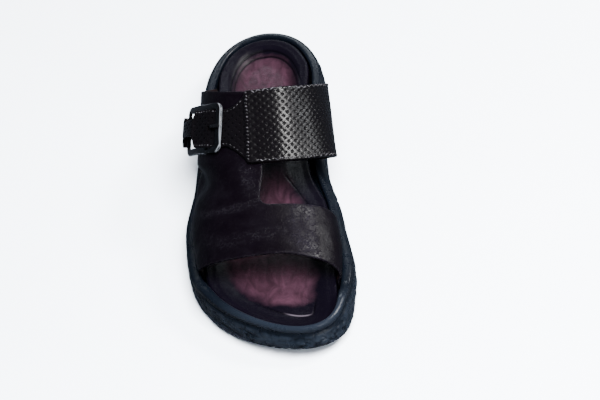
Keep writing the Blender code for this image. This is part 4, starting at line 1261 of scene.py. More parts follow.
class Last:
    """Surface that the bands are laid on, with its outward direction."""

    def __init__(self):
        self.start = LAST_SECTIONS[0]["along"]
        self.end = LAST_SECTIONS[-1]["along"]
        alongs = np.linspace(self.start, self.end, LAST_ROWS)
        self.points = np.array([self.section(a) for a in alongs])
        normals = unit(np.cross(np.gradient(self.points, axis=0),
                                np.gradient(self.points, axis=1)))
        if normals[LAST_ROWS // 2, LAST_COLUMNS // 2, 2] < 0:
            normals = -normals
        self.normals = normals

    def section(self, along):
        """Evenly spaced points of one section."""
        def value(column):
            return float(curve_value(LAST_SECTIONS, column, along))
        feet = []
        rims = []
        for column, side in (("lateral", -1.0), ("medial", 1.0)):
            place = value(column)
            turn = turn_of(place, side)
            flat = outline_inset(turn, np.asarray(RIM_WIDTH + 0.5 * STRAP_GROOVE))
            rim = float(side_rim_height(place))
            feet.append(np.array([flat[0], flat[1], rim - TUCK_DEPTH]))
            rims.append(rim + 0.0005)
        height = INSTEP_HEIGHT * value("height")
        middle = 0.5 * (feet[0][0] + feet[1][0])
        ridge = np.array([middle + BALL_WIDTH * value("ridge"), SHOE_LENGTH * (0.5 - along),
                          height])
        waists = (
            (feet[0][0] - BALL_WIDTH * value("lateral_bulge"), height * value("lateral_waist")),
            (feet[1][0] + BALL_WIDTH * value("medial_bulge"), height * value("medial_waist")),
        )
        curve = section_curve(feet[0], feet[1], ridge, waists, rims, value("shoulder"))
        steps = np.linalg.norm(np.diff(curve, axis=0), axis=1)
        way = np.concatenate([[0.0], np.cumsum(steps)])
        even = np.linspace(0.0, way[-1], LAST_COLUMNS)
        return np.stack([np.interp(even, way, curve[:, k]) for k in range(3)], axis=-1)

    def skin(self, along, around, lift):
        """Point at a height above the last, between its four nearest grid points."""
        i = np.clip((along - self.start) / (self.end - self.start), 0, 1) * (LAST_ROWS - 1)
        j = np.clip(around, 0, 1) * (LAST_COLUMNS - 1)
        i0 = np.minimum(i.astype(int), LAST_ROWS - 2)
        j0 = np.minimum(j.astype(int), LAST_COLUMNS - 2)
        s = (i - i0)[..., None]
        t = (j - j0)[..., None]
        found = []
        for grid in (self.points, self.normals):
            near = grid[i0, j0] * (1 - t) + grid[i0, j0 + 1] * t
            far = grid[i0 + 1, j0] * (1 - t) + grid[i0 + 1, j0 + 1] * t
            found.append(near * (1 - s) + far * s)
        return found[0] + unit(found[1]) * np.expand_dims(lift, -1)


def foot_share(around):
    """1 at the feet, where a band stands in the middle of its groove, and 0 on the last."""
    tuck = (TUCK_DEPTH + 0.001) / GIRTH
    near = np.minimum(around, 1.0 - around)
    return 1.0 - smooth_step((near - tuck) / TUCK_FADE)


def rounded_cut(corners, spacing):
    """Outline of a flat cut in metres: around across, along up, with its corners rounded."""
    points = [np.array([c["around"] * GIRTH, c["along"] * SHOE_LENGTH]) for c in corners]
    count = len(points)
    path = []
    for i, corner in enumerate(corners):
        before = points[i - 1] - points[i]
        after = points[(i + 1) % count] - points[i]
        if corner["round"] == 0.0:
            path.append(points[i])
            continue
        before_way = unit(before)
        after_way = unit(after)
        half = 0.5 * math.acos(float(np.clip(before_way @ after_way, -1.0, 1.0)))
        reach = min(corner["round"] / math.tan(half), 0.48 * np.linalg.norm(before),
                    0.48 * np.linalg.norm(after))
        start = points[i] + before_way * reach
        end = points[i] + after_way * reach
        turn = math.pi - 2.0 * half
        pieces = max(8, int(round(turn * reach * math.tan(half) / spacing)))
        for k in range(pieces + 1):
            t = k / pieces
            path.append((1 - t) ** 2 * start + 2 * t * (1 - t) * points[i] + t * t * end)
    return path


def resample(path, spacing):
    """Points at even steps along a closed path."""
    out = []
    for a, b in zip(path, path[1:] + path[:1]):
        pieces = max(1, int(round(np.linalg.norm(b - a) / spacing)))
        out.extend(a + (b - a) * k / pieces for k in range(pieces))
    return np.array(out)


def border_gap(points, loop):
    """Distance of each point from a closed outline, and whether it lies inside."""
    following = np.roll(loop, -1, axis=0)
    edge = following - loop
    long = (edge ** 2).sum(1)
    gap = np.empty(len(points))
    inside = np.empty(len(points), dtype=bool)
    for start in range(0, len(points), BLOCK):
        rows = slice(start, start + BLOCK)
        block = points[rows, None]
        reach = np.clip(((block - loop) * edge).sum(-1) / long, 0, 1)
        gap[rows] = np.linalg.norm(loop + edge * reach[..., None] - block, axis=-1).min(1)
        crosses = (loop[:, 1] > block[..., 1]) != (following[:, 1] > block[..., 1])
        rise = np.where(np.abs(edge[:, 1]) < 1e-12, 1e-12, edge[:, 1])
        cut = loop[:, 0] + (block[..., 1] - loop[:, 1]) / rise * edge[:, 0]
        inside[rows] = np.count_nonzero(crosses & (cut > block[..., 0]), axis=1) % 2 == 1
    return gap, inside


def edge_drop(distance, radius):
    """How far a rounded edge lies under the face beside it."""
    d = np.clip(distance, 0.0, radius)
    return radius - np.sqrt(np.maximum(radius ** 2 - (radius - d) ** 2, 0.0))


def upper_sheet(radius):
    """Triangles of the cut with close rows of points along its edge."""
    loop = resample(rounded_cut(UPPER_CUT, UPPER_SPACING), UPPER_SPACING)
    low = loop.min(axis=0)
    high = loop.max(axis=0)
    row_height = UPPER_SPACING * UPPER_ROW_RISE
    inner = []
    for r in range(1, int((high[1] - low[1]) / row_height) + 1):
        shift = 0.5 * UPPER_SPACING * (r % 2)
        xs = np.arange(low[0] + UPPER_SPACING - shift, high[0], UPPER_SPACING)
        inner.append(np.column_stack([xs, np.full(len(xs), low[1] + r * row_height)]))
    inner = np.concatenate(inner)
    gap, inside = border_gap(inner, loop)
    inner = inner[inside & (gap > radius + 0.45 * UPPER_SPACING)]
    ahead = unit(np.roll(loop, -1, axis=0) - np.roll(loop, 1, axis=0))
    inward = np.stack([-ahead[:, 1], ahead[:, 0]], axis=1)
    _, side = border_gap(loop + inward * 1e-4, loop)
    if np.count_nonzero(side) < len(loop) // 2:
        inward = -inward
    bands = []
    for share in UPPER_EDGE_BANDS:
        depth = share * radius
        band = loop + inward * depth
        gap, inside = border_gap(band, loop)
        bands.append(band[inside & (gap > 0.9 * depth)])
    coords = [Vector(p) for p in np.concatenate([loop] + bands + [inner])]
    count = len(loop)
    edges = [(i, (i + 1) % count) for i in range(count)]
    verts, _, faces, _, _, _ = delaunay_2d_cdt(coords, edges, [], 1, 1e-7)
    return np.array([[v.x, v.y] for v in verts]), [tuple(f) for f in faces], loop


def spots(rows, column, around, along):
    """Sum of the soft long spots of a table, such as creases, at places of the upper."""
    total = np.zeros(np.shape(around))
    for row in rows:
        x = (around - row["around"]) * GIRTH
        y = (along - row["along"]) * SHOE_LENGTH
        turn = math.radians(row["turn"])
        u = x * math.cos(turn) + y * math.sin(turn)
        v = -x * math.sin(turn) + y * math.cos(turn) + SPOT_BEND * u * u
        total += row[column] * np.exp(-(u / row["length"]) ** 2 - (v / row["breadth"]) ** 2)
    return total


def make_upper(last):
    """Vamp and quarter: the cut laid on the last, with creases, rubbed places (partly a painted
    highlight on the medial vamp) and a lining.
    """
    radius = sizes().edge_round
    flat, faces, loop = upper_sheet(radius)
    around = flat[:, 0] / GIRTH
    along = flat[:, 1] / SHOE_LENGTH
    gap, _ = border_gap(flat, loop)
    drop = edge_drop(gap, radius)
    tucked = foot_share(around)
    half = 0.5 * UPPER_WALL * tucked
    strap_front = between(UNDER_STRAP_LATERAL, UNDER_STRAP_MEDIAL,
                          smooth_step((around - 0.34) / 0.10))
    under_strap = smooth_step((strap_front + UNDER_STRAP_FADE - along) / UNDER_STRAP_FADE)
    soft = (spots(CREASES, "lift", around, along) * (1.0 - tucked)
            * smooth_step(gap / CREASE_BORDER) * (1.0 - under_strap))
    leather = Surface()
    floor = leather.add(last.skin(along, around, -half + soft + 0.5 * drop))
    roof = leather.add(last.skin(along, around, UPPER_WALL - half + soft - drop))
    borders = {}
    for face in faces:
        leather.face([roof[i] for i in face], 0)
        leather.face([floor[i] for i in reversed(face)], 1)
        for a, b in zip(face, face[1:] + face[:1]):
            if (b, a) in borders:
                del borders[(b, a)]
            else:
                borders[(a, b)] = True
    for a, b in borders:
        leather.face((roof[b], roof[a], floor[a], floor[b]), 0)
    # rub: scuffs painted lighter, and on the medial vamp also a painted highlight.
    rub = spots(SCUFFS, "share", around, along) + EDGE_WEAR * np.exp(-gap / EDGE_WEAR_REACH)
    rub = np.concatenate([np.zeros(len(flat)), rub])
    lining = plain_leather_material("band_lining", colours().lining,
                                    shaded(colours().lining, LINING_SHADE), 0.6)
    piece = leather.build("vamp_and_quarter", [vamp_material(), lining], {"rub": rub}, sharp=62.0)
    finish_piece(piece, "vamp_leather", "upper")


def strap_values(around):
    """Width, floor height and wall of the instep strap at a place around."""
    bar = QUARTER_TOP + BAR_STANDOFF + 2.0 * ANCHOR_WALL + BAR_HEIGHT + 3.0 * FIT_GAP
    prong = QUARTER_TOP + PRONG_HEIGHT + 2.0 * FIT_GAP
    lifts = {"last": 0.0, "quarter": QUARTER_TOP, "bar": bar, "tail": bar - TAIL_DROP,
             "prong": prong, "middle": 0.5 * (bar + prong), "shoulder": 0.25 * prong + 0.75 * bar}
    widths = {"tab": TAB_WIDTH, "neck": NECK_WIDTH, "strap": STRAP_WIDTH}
    rows = [{"along": r["around"], "lift": lifts[r["lift"]], "seam": r["seam"],
             "width": widths[r["base"]] * r["width"]} for r in STRAP_STATIONS]
    width = curve_value(rows, "width", around)
    lift = curve_value(rows, "lift", around)
    seam = np.interp(around, [r["along"] for r in rows], [r["seam"] for r in rows])
    return width, lift, STRAP_WALL + SEAM_WALL * seam


def strap_point(last, around, across, lift):
    """Point of the strap. across runs in metres towards the toe from the strap's middle line."""
    middle_table = [{"along": r["around"], "middle": r["middle"]} for r in STRAP_STATIONS]
    middle = curve_value(middle_table, "middle", around)
    stretch = (last.skin(middle + STRETCH_PROBE, around, lift)
               - last.skin(middle - STRETCH_PROBE, around, lift))
    scale = np.linalg.norm(stretch, axis=-1) / (2.0 * STRETCH_PROBE)
    twist = STRAP_TWIST * smooth_step((TWIST_END - around) / TWIST_REACH)
    return last.skin(middle + across / scale, around - twist * across / GIRTH, lift)


def strap_floor(around):
    """Width, floor height and wall, with the medial foot in the middle of its groove."""
    width, lift, wall = strap_values(around)
    return width, lift - 0.5 * STRAP_WALL * foot_share(around) * (around > 0.5), wall


def basket_weave(u, v, cell):
    """Height from 0 to 1 of strands that cross at 45 degrees to the strap."""
    p = (u + v) / (math.sqrt(2.0) * cell)
    q = (u - v) / (math.sqrt(2.0) * cell)
    i = np.floor(p)
    j = np.floor(q)
    fp = p - i - 0.5
    fq = q - j - 0.5
    over = np.mod(i + j, 2.0) < 0.5
    across = np.abs(np.where(over, fq, fp))
    along = np.abs(np.where(over, fp, fq))
    strand = 1.0 - smooth_step((across - STRAND_HALF) / STRAND_FALL)
    strand = strand * (1.0 - STRAND_CROWN + STRAND_CROWN * np.cos(math.pi * 0.95 * along))
    below = STRAND_BELOW * (1.0 - smooth_step((along - STRAND_HALF) / STRAND_FALL))
    return np.maximum(strand, below)


def strap_rows():
    """Fine places around for the strap's rows, and which of them are the coarse ones."""
    places = sorted([r["around"] for r in STRAP_STATIONS] + [PRONG_HOLE_START, PRONG_HOLE_END])
    coarse = []
    for a, b in zip(places, places[1:]):
        pieces = max(1, int(math.ceil((b - a) / STRAP_STEP)))
        coarse.extend(a + (b - a) * k / pieces for k in range(pieces))
    coarse.append(places[-1])
    fine = []
    marks = []
    for a, b in zip(coarse, coarse[1:]):
        pieces = max(2, int(math.ceil((b - a) * GIRTH * 1.08 / STRAP_SPACING)))
        marks.append(len(fine))
        fine.extend(a + (b - a) * k / pieces for k in range(pieces))
    marks.append(len(fine))
    return np.array(fine + [coarse[-1]]), marks


def strap_columns(width, radius):
    """Places across in metres for every row, and which columns are the coarse ones."""
    half = 0.5 * width[:, None]
    slot = 0.5 * PRONG_HOLE_WIDTH
    edge = np.array(STRAP_EDGE_COLUMNS) * radius
    fill = np.linspace(0.0, 1.0, STRAP_WING_COLUMNS)[None]
    wing = half - radius - (half - radius - slot) * fill
    wing = np.concatenate([half - edge[None], wing], axis=1)
    middle = np.linspace(slot, -slot, STRAP_SLOT_COLUMNS)[None, 1:-1] + 0.0 * half
    columns = np.concatenate([wing, middle, -wing[:, ::-1]], axis=1)
    last_wing = wing.shape[1] - 1
    total = columns.shape[1] - 1
    marks = [0, *STRAP_WING_MARKS, last_wing]
    return columns[:, ::-1], marks + [total - mark for mark in marks[::-1]]


def open_sides(cell, kept):
    """The two corners of each side of a cell that has no kept cell beyond it."""
    c, r = cell
    sides = (((c - 1, r), (c, r), (c, r + 1)), ((c + 1, r), (c + 1, r + 1), (c + 1, r)),
             ((c, r - 1), (c + 1, r), (c, r)), ((c, r + 1), (c, r + 1), (c + 1, r + 1)))
    return [(a, b) for beyond, a, b in sides if beyond not in kept]


def make_strap(last):
    """Woven instep strap. Gives its rows around and how far each lies from the tail."""
    s = sizes()
    rows, row_marks = strap_rows()
    width, lift, wall = strap_floor(rows)
    columns, column_marks = strap_columns(width, s.edge_round)
    middle_line = strap_point(last, rows, 0.0 * rows, lift)
    way = np.concatenate([[0.0], np.cumsum(np.linalg.norm(np.diff(middle_line, axis=0), axis=1))])
    around = np.broadcast_to(rows[:, None], columns.shape)
    u = np.broadcast_to(way[:, None], columns.shape)
    border = 0.5 * width[:, None] - np.abs(columns)
    border = np.minimum(border, (u - u[0, 0]) + 0.0 * border)
    weave = basket_weave(u, columns, s.weave_cell)
    ridge = 1.0 - smooth_step((np.abs(around - STRAP_SEAM) - SEAM_HALF) / SEAM_HALF)
    plain = smooth_step((border - WEAVE_BORDER) / WEAVE_BORDER_FADE) * (1.0 - ridge)
    drop = edge_drop(border, s.edge_round)
    top = lift[:, None] + wall[:, None] - drop + s.weave_depth * (weave - WEAVE_LEVEL) * plain
    leather = Surface()
    roof = leather.add(strap_point(last, around, columns, top)).T
    bottom = columns[np.ix_(row_marks, column_marks)]
    bottom_around = np.broadcast_to(rows[row_marks][:, None], bottom.shape)
    bottom_lift = np.broadcast_to(lift[row_marks][:, None], bottom.shape)
    floor = leather.add(strap_point(last, bottom_around, bottom, bottom_lift)).T
    hole_rows = [k for k, m in enumerate(row_marks)
                 if PRONG_HOLE_START - 1e-6 < rows[m] < PRONG_HOLE_END + 1e-6]
    hole = set((3, r) for r in hole_rows[:-1])
    cells = [(c, r) for c in range(len(column_marks) - 1) for r in range(len(row_marks) - 1)
             if (c, r) not in hole]
    kept = set(cells)

    def run(start, end):
        """Roof points on the way from one coarse corner to the next, both included."""
        x0, x1 = column_marks[start[0]], column_marks[end[0]]
        y0, y1 = row_marks[start[1]], row_marks[end[1]]
        steps = max(abs(x1 - x0), abs(y1 - y0))
        return [roof[x0 + (x1 - x0) * k // steps, y0 + (y1 - y0) * k // steps]
                for k in range(steps + 1)]

    for c, r in cells:
        block = roof[column_marks[c]:column_marks[c + 1] + 1, row_marks[r]:row_marks[r + 1] + 1]
        leather.grid(block, 0)
        leather.face((floor[c, r], floor[c, r + 1], floor[c + 1, r + 1], floor[c + 1, r]), 1)
        for a, b in open_sides((c, r), kept):
            leather.face([floor[a], floor[b]] + run(b, a), 0)
    raised = np.zeros(leather.count)
    raised[:weave.size] = (weave * plain + (1.0 - plain) * PLAIN_LEATHER).ravel()
    lining = bpy.data.materials.get("band_lining")
    piece = leather.build("woven_strap", [strap_material(), lining], {"weave": raised}, sharp=55.0)
    finish_piece(piece, "woven_leather", "instep_strap")
    return rows, way


def add_stitches(surface, starts, ends, ups, thickness, arch):
    """Short arched threads, each a closed tube from a start to an end point."""
    t = np.linspace(0.0, 1.0, THREAD_STEPS)[None, :, None]
    starts = starts[:, None]
    ends = ends[:, None]
    ups = unit(ups)
    centre = starts + (ends - starts) * t + ups[:, None] * arch * (np.sin(math.pi * t) - 0.35)
    side = unit(np.cross(unit(ends - starts)[:, 0], ups))
    radius = 0.5 * thickness * np.sqrt(np.clip(1.0 - (2.0 * t - 1.0) ** 4, 0.10, 1.0))
    angle = 2.0 * math.pi * np.arange(THREAD_SIDES) / THREAD_SIDES
    for k in range(len(starts)):
        ring = side[k] * np.cos(angle)[:, None] + ups[k] * 0.75 * np.sin(angle)[:, None]
        surface.tube(centre[k][:, None] + ring[None] * radius[0][:, None])


def make_stitching(last, rows, way):
    """Zigzag of the wide strap, running stitch of the tab and the lace over the seam."""
    s = sizes()
    width_at = strap_floor(rows)[0]
    seam_way = float(np.interp(STRAP_SEAM, rows, way))

    def half_at(u):
        return 0.5 * np.interp(u, way, width_at)

    def place(u, v, proud=0.0):
        around = np.interp(u, way, rows)
        _, lift, wall = strap_floor(around)
        return strap_point(last, around, v, lift + wall + proud)

    random = np.random.default_rng(THREAD_SEED)
    stitches = Surface()
    for side in (-1.0, 1.0):
        u = np.arange(seam_way + STITCH_START, way[-1] - STITCH_END, s.stitch_length)
        zigzag = np.where(np.arange(len(u)) % 2 == 0, *ZIGZAG_INSETS)
        zigzag = zigzag + random.uniform(-STITCH_WANDER, STITCH_WANDER, len(u))
        v = side * (half_at(u) - zigzag)
        points = place(u, v)
        ups = place(u, v, UP_PROBE) - points
        add_stitches(stitches, points[:-1], points[1:], ups[:-1], s.thread, STITCH_ARCH)
        u = np.arange(way[0] + STITCH_START, seam_way - STITCH_SEAM_GAP, s.stitch_length)
        u = u[half_at(u) > 0.45 * TAB_WIDTH]
        u_end = u + TAB_STITCH_SHARE * s.stitch_length
        v = side * (half_at(u) - TAB_STITCH_INSET)
        start = place(u, v)
        end = place(u_end, side * (half_at(u_end) - TAB_STITCH_INSET))
        add_stitches(stitches, start, end, place(u, v, UP_PROBE) - start,
                     TAB_THREAD_SHARE * s.thread, TAB_STITCH_ARCH)
    finish_piece(stitches.build("strap_stitching", [thread_material()]), "woven_leather")
    lace = Surface()
    half = 0.5 * STRAP_WIDTH
    v = np.arange(-half + LACE_MARGIN, half - LACE_END_MARGIN, LACE_SPACING * s.stitch_length)
    wander = random.uniform(-LACE_WANDER, LACE_WANDER, (2, len(v)))
    low, high = (place(seam_way + ahead + shift, v + aside, proud)
                 for (ahead, aside, proud), shift in zip((LACE_LOW, LACE_HIGH), wander))
    seam = np.full(len(v), seam_way)
    add_stitches(lace, low, high, place(seam, v, UP_PROBE) - place(seam, v), s.lacing, LACE_ARCH)
    finish_piece(lace.build("seam_lacing", [bpy.data.materials["waxed_thread"]]), "woven_leather")


def sweep(surface, centres, ups, sides, width, height, segments, closed):
    """Tube of rounded section along centres, with the given up and side directions."""
    angle = 2.0 * math.pi * (np.arange(segments) + 0.5) / segments
    spread, rise = (0.5 * np.sign(wave) * np.abs(wave) ** BAR_SQUARENESS
                    for wave in (np.cos(angle), np.sin(angle)))
    width = np.broadcast_to(width, len(centres))[:, None, None]
    height = np.broadcast_to(height, len(centres))[:, None, None]
    surface.tube(centres[:, None] + sides[:, None] * spread[None, :, None] * width
                 + ups[:, None] * rise[None, :, None] * height, closed)


def buckle_point(last, out, across, lift):
    """Point over the quarter. out runs towards the lateral side, across towards the toe."""
    around = BUCKLE_AROUND - np.asarray(out) / GIRTH
    return strap_point(last, around, np.asarray(across), np.asarray(lift))


def bar_lift(out):
    """Height of a bar's middle over the last: on the anchor or over the strap."""
    lateral = QUARTER_TOP + BAR_STANDOFF + ANCHOR_WALL + FIT_GAP + 0.5 * BAR_HEIGHT
    medial = QUARTER_TOP + STRAP_WALL + FIT_GAP + 0.5 * BAR_HEIGHT
    share = 0.5 + out / (BUCKLE_LENGTH - BAR_WIDTH)
    return medial + (lateral - medial) * share


def frame_point(last, out, across, rise):
    """Point of the frame: nearly straight between its lateral and its medial bar."""
    medial, lateral = (buckle_point(last, bar + 0.0 * out, across, bar_lift(bar) + rise)
                       for bar in (-BAR_REACH, BAR_REACH))
    straight = between(medial, lateral, 0.5 + 0.5 * out[:, None] / BAR_REACH)
    bent = buckle_point(last, out, across, bar_lift(out) + rise)
    return between(straight, bent, BUCKLE_BEND)


def sweep_over(surface, place, path, width, height, closed, segments, passes):
    """Bar of rounded section along a path of out, across and height values over the quarter."""
    path = np.array(path)
    centres = place(path[:, 0], path[:, 1], path[:, 2])
    higher = place(path[:, 0], path[:, 1], path[:, 2] + 2.0 * UP_PROBE) - centres
    for _ in range(passes):
        for lines in (centres, higher):
            if closed:
                lines[:] = softened(np.concatenate([lines[-1:], lines, lines[:1]]))
            else:
                lines[1:-1] = softened(lines)
    if closed:
        ahead = np.roll(centres, -1, axis=0) - np.roll(centres, 1, axis=0)
    else:
        ahead = np.gradient(centres, axis=0)
    ahead = unit(ahead)
    sides = unit(np.cross(higher, ahead))
    sweep(surface, centres, np.cross(ahead, sides), sides, width, height, segments, closed)


def finer(path, pieces):
    """Points on a smooth curve through the given ones."""
    path = np.array(path)
    before = np.concatenate([path[:1], path[:-1]])
    after = np.concatenate([path[1:], path[-1:]])
    slope = 0.5 * (after - before)
    out = []
    for i in range(len(path) - 1):
        for k in range(pieces):
            t = k / pieces
            out.append((2 * t ** 3 - 3 * t ** 2 + 1) * path[i]
                       + (t ** 3 - 2 * t ** 2 + t) * slope[i]
                       + (3 * t ** 2 - 2 * t ** 3) * path[i + 1]
                       + (t ** 3 - t ** 2) * slope[i + 1])
    return out + [path[-1]]


def ring_path():
    """Path of the buckle's frame round its four corners, as out, across and height."""
    half_across = 0.5 * (BUCKLE_WIDTH - BAR_WIDTH)
    corners = []
    for quarter, (sx, sy) in enumerate(((1, 1), (-1, 1), (-1, -1), (1, -1))):
        for k in range(CORNER_STEPS + 1):
            angle = 0.5 * math.pi * (quarter + k / CORNER_STEPS)
            corners.append((sx * (BAR_REACH - BUCKLE_CORNER) + BUCKLE_CORNER * math.cos(angle),
                            sy * (half_across - BUCKLE_CORNER) + BUCKLE_CORNER * math.sin(angle)))
    path = []
    for a, b in zip(corners, corners[1:] + corners[:1]):
        pieces = max(1, int(round(math.hypot(b[0] - a[0], b[1] - a[1]) / RING_STEP)))
        for k in range(pieces):
            out = between(a[0], b[0], k / pieces)
            flare = 1.0 + BUCKLE_FLARE * out / BAR_REACH
            path.append((out, flare * between(a[1], b[1], k / pieces), 0.0))
    return path


def make_buckle(last):
    """Frame with a painted highlight along its outer edge, prong and the leather tab round the
    lateral bar.
    """
    c = colours()
    path = ring_path()
    ring = Surface()
    sweep_over(ring, lambda *place: frame_point(last, *place), path, BAR_WIDTH, BAR_HEIGHT,
               True, RING_SIDES, 2)
    rings = np.concatenate(ring.points).reshape(len(path), -1, 3)
    mids = rings.mean(axis=1)
    away = unit(mids - mids.mean(axis=0))
    outward = ((rings - mids[:, None]) * away[:, None]).sum(axis=2)
    # Painted highlight along the frame's outer edge, stronger on the medial bar.
    medial_bar = smooth_step((-np.array(path)[:, 0] / BAR_REACH - 0.85) / 0.12)
    frame_highlight = (between(FRAME_HIGHLIGHT_SHARE, MEDIAL_HIGHLIGHT_SHARE, medial_bar)[:, None]
            * line_groove(outward / BAR_WIDTH - FRAME_HIGHLIGHT_AT, FRAME_HIGHLIGHT_WIDTH))
    gloss = metal_material("lacquered_metal", c.metal, shaded(c.metal, 2.2), 0.07, c.metal_edge_highlight)
    piece = ring.build("buckle_ring", [gloss], {"edge": frame_highlight.ravel()})
    finish_piece(piece, "black_metal", "buckle_frame")
    over_bar = 0.5 * (BAR_HEIGHT + PRONG_HEIGHT) + FIT_GAP
    lateral = bar_lift(BAR_REACH)
    medial = bar_lift(-BAR_REACH)
    beside = 0.5 * (BAR_WIDTH + PRONG_HEIGHT) + FIT_GAP

    def under_strap(out):
        around = np.asarray(BUCKLE_AROUND - out / GIRTH)
        return float(strap_floor(around)[1]) - 0.5 * PRONG_HEIGHT - FIT_GAP

    # From the hook round the lateral bar, under the strap, up through its hole, to the medial bar.
    prong_path = [
        (BAR_REACH + beside, 0.0, lateral - HOOK_DROP),
        (BAR_REACH + 0.8 * beside, 0.0, lateral + 0.75 * over_bar),
        (BAR_REACH, 0.0, lateral + over_bar),
        (BAR_REACH - beside, 0.0, lateral + 0.92 * over_bar),
        *((share * BAR_REACH, 0.0, under_strap(share * BAR_REACH))
          for share in (0.50, 0.10, -0.30)),
        (-0.58 * BAR_REACH, 0.0, QUARTER_TOP + 0.5 * PRONG_HEIGHT + FIT_GAP),
        (-0.69 * BAR_REACH, 0.0, medial - 0.4 * over_bar),
        (-BAR_REACH + beside, 0.0, medial + 0.92 * over_bar),
        (-BAR_REACH, 0.0, medial + over_bar + FIT_GAP),
        (-BAR_REACH - 0.4 * beside, 0.0, medial + over_bar),
    ]
    prong = Surface()
    sweep_over(prong, lambda *place: buckle_point(last, *place), finer(prong_path, PATH_STEPS),
               PRONG_WIDTH, PRONG_HEIGHT, False, PRONG_SIDES, 1)
    dark = metal_material("dark_metal", shaded(c.metal, 2.0), shaded(c.metal, 4.0), 0.18)
    finish_piece(prong.build("buckle_tongue", [dark]), "dark_metal", "buckle_prong")
    make_buckle_tab(last, lateral)


def make_buckle_tab(last, middle):
    """Leather tab folded round the frame's lateral bar, slotted for the prong."""
    reach_out = 0.5 * BAR_WIDTH + FIT_GAP + 0.5 * ANCHOR_WALL
    reach_up = 0.5 * BAR_HEIGHT + FIT_GAP + 0.5 * ANCHOR_WALL
    foot = QUARTER_TOP + 0.5 * ANCHOR_WALL + 0.5 * FIT_GAP
    path = [(BAR_REACH - ANCHOR_FOOT, foot), (BAR_REACH - 0.6 * ANCHOR_FOOT, foot)]
    for k in range(FOLD_STEPS + 1):
        angle = math.pi * (k / FOLD_STEPS - 0.5)
        path.append((BAR_REACH + reach_out * math.cos(angle) ** BAR_SQUARENESS,
                     middle + reach_up * math.sin(angle)))
    path.append((BAR_REACH - reach_out, middle + reach_up))
    path = finer(path, TAB_PATH_STEPS)
    tab = Surface()
    low = []
    high = []
    half = 0.5 * ANCHOR_WIDTH
    slot = 0.5 * PRONG_HOLE_WIDTH
    offsets = (-half, -half + ANCHOR_EDGE, -slot, slot, half - ANCHOR_EDGE, half)
    for column, across in enumerate(offsets):
        wall = ANCHOR_WALL - (ANCHOR_EDGE_LOSS if column in (0, len(offsets) - 1) else 0.0)
        lines = {-0.5: [], 0.5: []}
        for i, place in enumerate(path):
            before = path[max(i - 1, 0)]
            after = path[min(i + 1, len(path) - 1)]
            way = math.hypot(after[0] - before[0], after[1] - before[1])
            normal = ((after[1] - before[1]) / way, -(after[0] - before[0]) / way)
            for side, line in lines.items():
                line.append(buckle_point(last, place[0] + side * wall * normal[0], across,
                                         place[1] + side * wall * normal[1]))
        low.append(lines[-0.5])
        high.append(lines[0.5])
    floor = tab.add(np.array(low))
    roof = tab.add(np.array(high))
    cells = [(c, r) for c in range(len(offsets) - 1) for r in range(len(path) - 1)
             if not (c == SLOT_COLUMN and r >= SLOT_START_ROW)]
    kept = set(cells)
    for c, r in cells:
        tab.face((roof[c, r], roof[c + 1, r], roof[c + 1, r + 1], roof[c, r + 1]))
        tab.face((floor[c, r], floor[c, r + 1], floor[c + 1, r + 1], floor[c + 1, r]))
        for a, b in open_sides((c, r), kept):
            tab.face((floor[a], floor[b], roof[b], roof[a]))
    strap = colours().strap
    leather = plain_leather_material("tab_leather", shaded(strap, 0.6), strap, 0.42)
    finish_piece(tab.build("buckle_tab", [leather], sharp=50.0), "strap_leather", "buckle_anchor")


def make_stage():
    """Floor, room light, soft boxes and camera."""
    s = sizes()
    floor = Surface()
    floor.face(floor.add([(x * FLOOR_REACH, y * FLOOR_REACH, 0.0)
                          for x, y in ((-1, -1), (1, -1), (1, 1), (-1, 1))]))
    plane = floor.build("studio_floor", [floor_material()])
    plane.visible_glossy = False
    world = bpy.data.worlds.new("studio")
    world.use_nodes = True
    shade = world.node_tree.nodes["Background"]
    shade.inputs["Color"].default_value = (*ROOM_TINT, 1.0)
    shade.inputs["Strength"].default_value = ROOM_STRENGTH
    bpy.context.scene.world = world
    for row in LIGHTS:
        lamp = bpy.data.lights.new(row["name"], "AREA")
        lamp.shape = "RECTANGLE"
        lamp.size, lamp.size_y = row["wide"], row["high"]
        lamp.energy = row["power"] * (s.fill_power if row["name"] == "fill_light" else s.key_power)
        lamp.color = row["tint"]
        holder = bpy.data.objects.new(row["name"], lamp)
        bpy.context.scene.collection.objects.link(holder)
        holder.location = row["place"]
        toward = Vector(LIGHTS_TARGET) - Vector(row["place"])
        holder.rotation_euler = toward.to_track_quat("-Z", "Y").to_euler()
        holder.visible_glossy = row["shine"]
    camera = bpy.data.objects.new("camera", bpy.data.cameras.new("camera"))
    bpy.context.scene.collection.objects.link(camera)
    azimuth = math.radians(CAMERA_AZIMUTH)
    elevation = math.radians(CAMERA_ELEVATION)
    roll = math.radians(CAMERA_ROLL)
    flat = math.cos(elevation)
    back = Vector((math.sin(azimuth) * flat, -math.cos(azimuth) * flat, math.sin(elevation)))
    right = Vector((math.cos(azimuth), math.sin(azimuth), 0.0))
    up = back.cross(right)
    across = right * math.cos(roll) + up * math.sin(roll)
    upward = up * math.cos(roll) - right * math.sin(roll)
    turn = Matrix((across, upward, back)).transposed().to_4x4()
    place = Vector(CAMERA_TARGET) + back * CAMERA_DISTANCE
    camera.matrix_world = Matrix.Translation(place) @ turn
    camera.data.lens = s.camera_lens
    camera.data.sensor_width = SENSOR_WIDTH
    camera.data.clip_start = 0.05
    camera.data.clip_end = 50.0
    bpy.context.scene.camera = camera


class SANDAL_OT_stage(Operator):
    """Makes the floor, the soft lights and the camera"""
    bl_idname = "sandal.stage"
    bl_label = "Stage"

    def execute(self, context):
        make_stage()
        return {"FINISHED"}


class SANDAL_OT_sole(Operator):
    """Makes the rubber cup sole with its rocky side wall and tread"""
    bl_idname = "sandal.sole"
    bl_label = "Cup sole"

    def execute(self, context):
        make_sole()
        return {"FINISHED"}


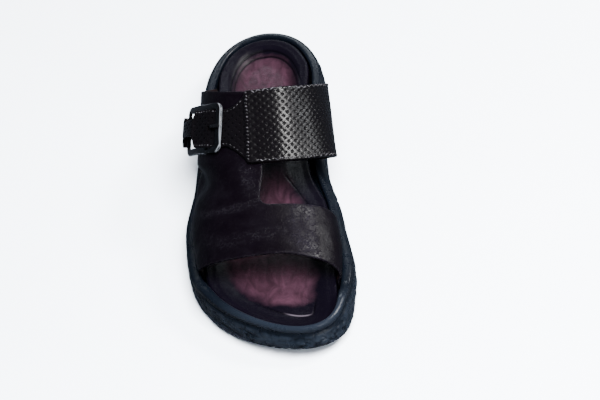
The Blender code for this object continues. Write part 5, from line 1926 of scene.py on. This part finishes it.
class SANDAL_OT_footbed(Operator):
    """Makes the moulded leather footbed with its embossed lines"""
    bl_idname = "sandal.footbed"
    bl_label = "Footbed"

    def execute(self, context):
        make_footbed()
        return {"FINISHED"}


class SANDAL_OT_upper(Operator):
    """Makes the vamp and quarter"""
    bl_idname = "sandal.upper"
    bl_label = "Vamp and quarter"

    def execute(self, context):
        make_upper(Last())
        return {"FINISHED"}


class SANDAL_OT_strap(Operator):
    """Makes the woven instep strap with its stitching and laced seam"""
    bl_idname = "sandal.strap"
    bl_label = "Woven strap"

    def execute(self, context):
        last = Last()
        rows, way = make_strap(last)
        make_stitching(last, rows, way)
        return {"FINISHED"}


class SANDAL_OT_buckle(Operator):
    """Makes the buckle, its tongue and its leather tab"""
    bl_idname = "sandal.buckle"
    bl_label = "Buckle"

    def execute(self, context):
        make_buckle(Last())
        return {"FINISHED"}


OPERATORS = (SANDAL_OT_stage, SANDAL_OT_sole, SANDAL_OT_footbed, SANDAL_OT_upper,
             SANDAL_OT_strap, SANDAL_OT_buckle)


class SANDAL_PT_panel(Panel):
    """Sizes, colours and pieces of the sandal"""
    bl_label = "Slide sandal"
    bl_idname = "SANDAL_PT_panel"
    bl_space_type = "VIEW_3D"
    bl_region_type = "UI"
    bl_category = "Sandal"

    def draw(self, context):
        column = self.layout.column()
        for kind in OPERATORS:
            column.operator(kind.bl_idname)
        for group in (context.scene.sandal_sizes, context.scene.sandal_colours):
            for name in group.__annotations__:
                column.prop(group, name)


CLASSES = (SandalSizes, SandalColours) + OPERATORS + (SANDAL_PT_panel,)


def register():
    for kind in CLASSES:
        bpy.utils.register_class(kind)
    bpy.types.Scene.sandal_sizes = PointerProperty(type=SandalSizes)
    bpy.types.Scene.sandal_colours = PointerProperty(type=SandalColours)


def unregister():
    del bpy.types.Scene.sandal_colours
    del bpy.types.Scene.sandal_sizes
    for kind in reversed(CLASSES):
        bpy.utils.unregister_class(kind)


def main():
    """Builds the stage and all pieces."""
    register()
    bpy.ops.sandal.stage()
    bpy.ops.sandal.sole()
    bpy.ops.sandal.footbed()
    bpy.ops.sandal.upper()
    bpy.ops.sandal.strap()
    bpy.ops.sandal.buckle()


if __name__ == "__main__":
    main()
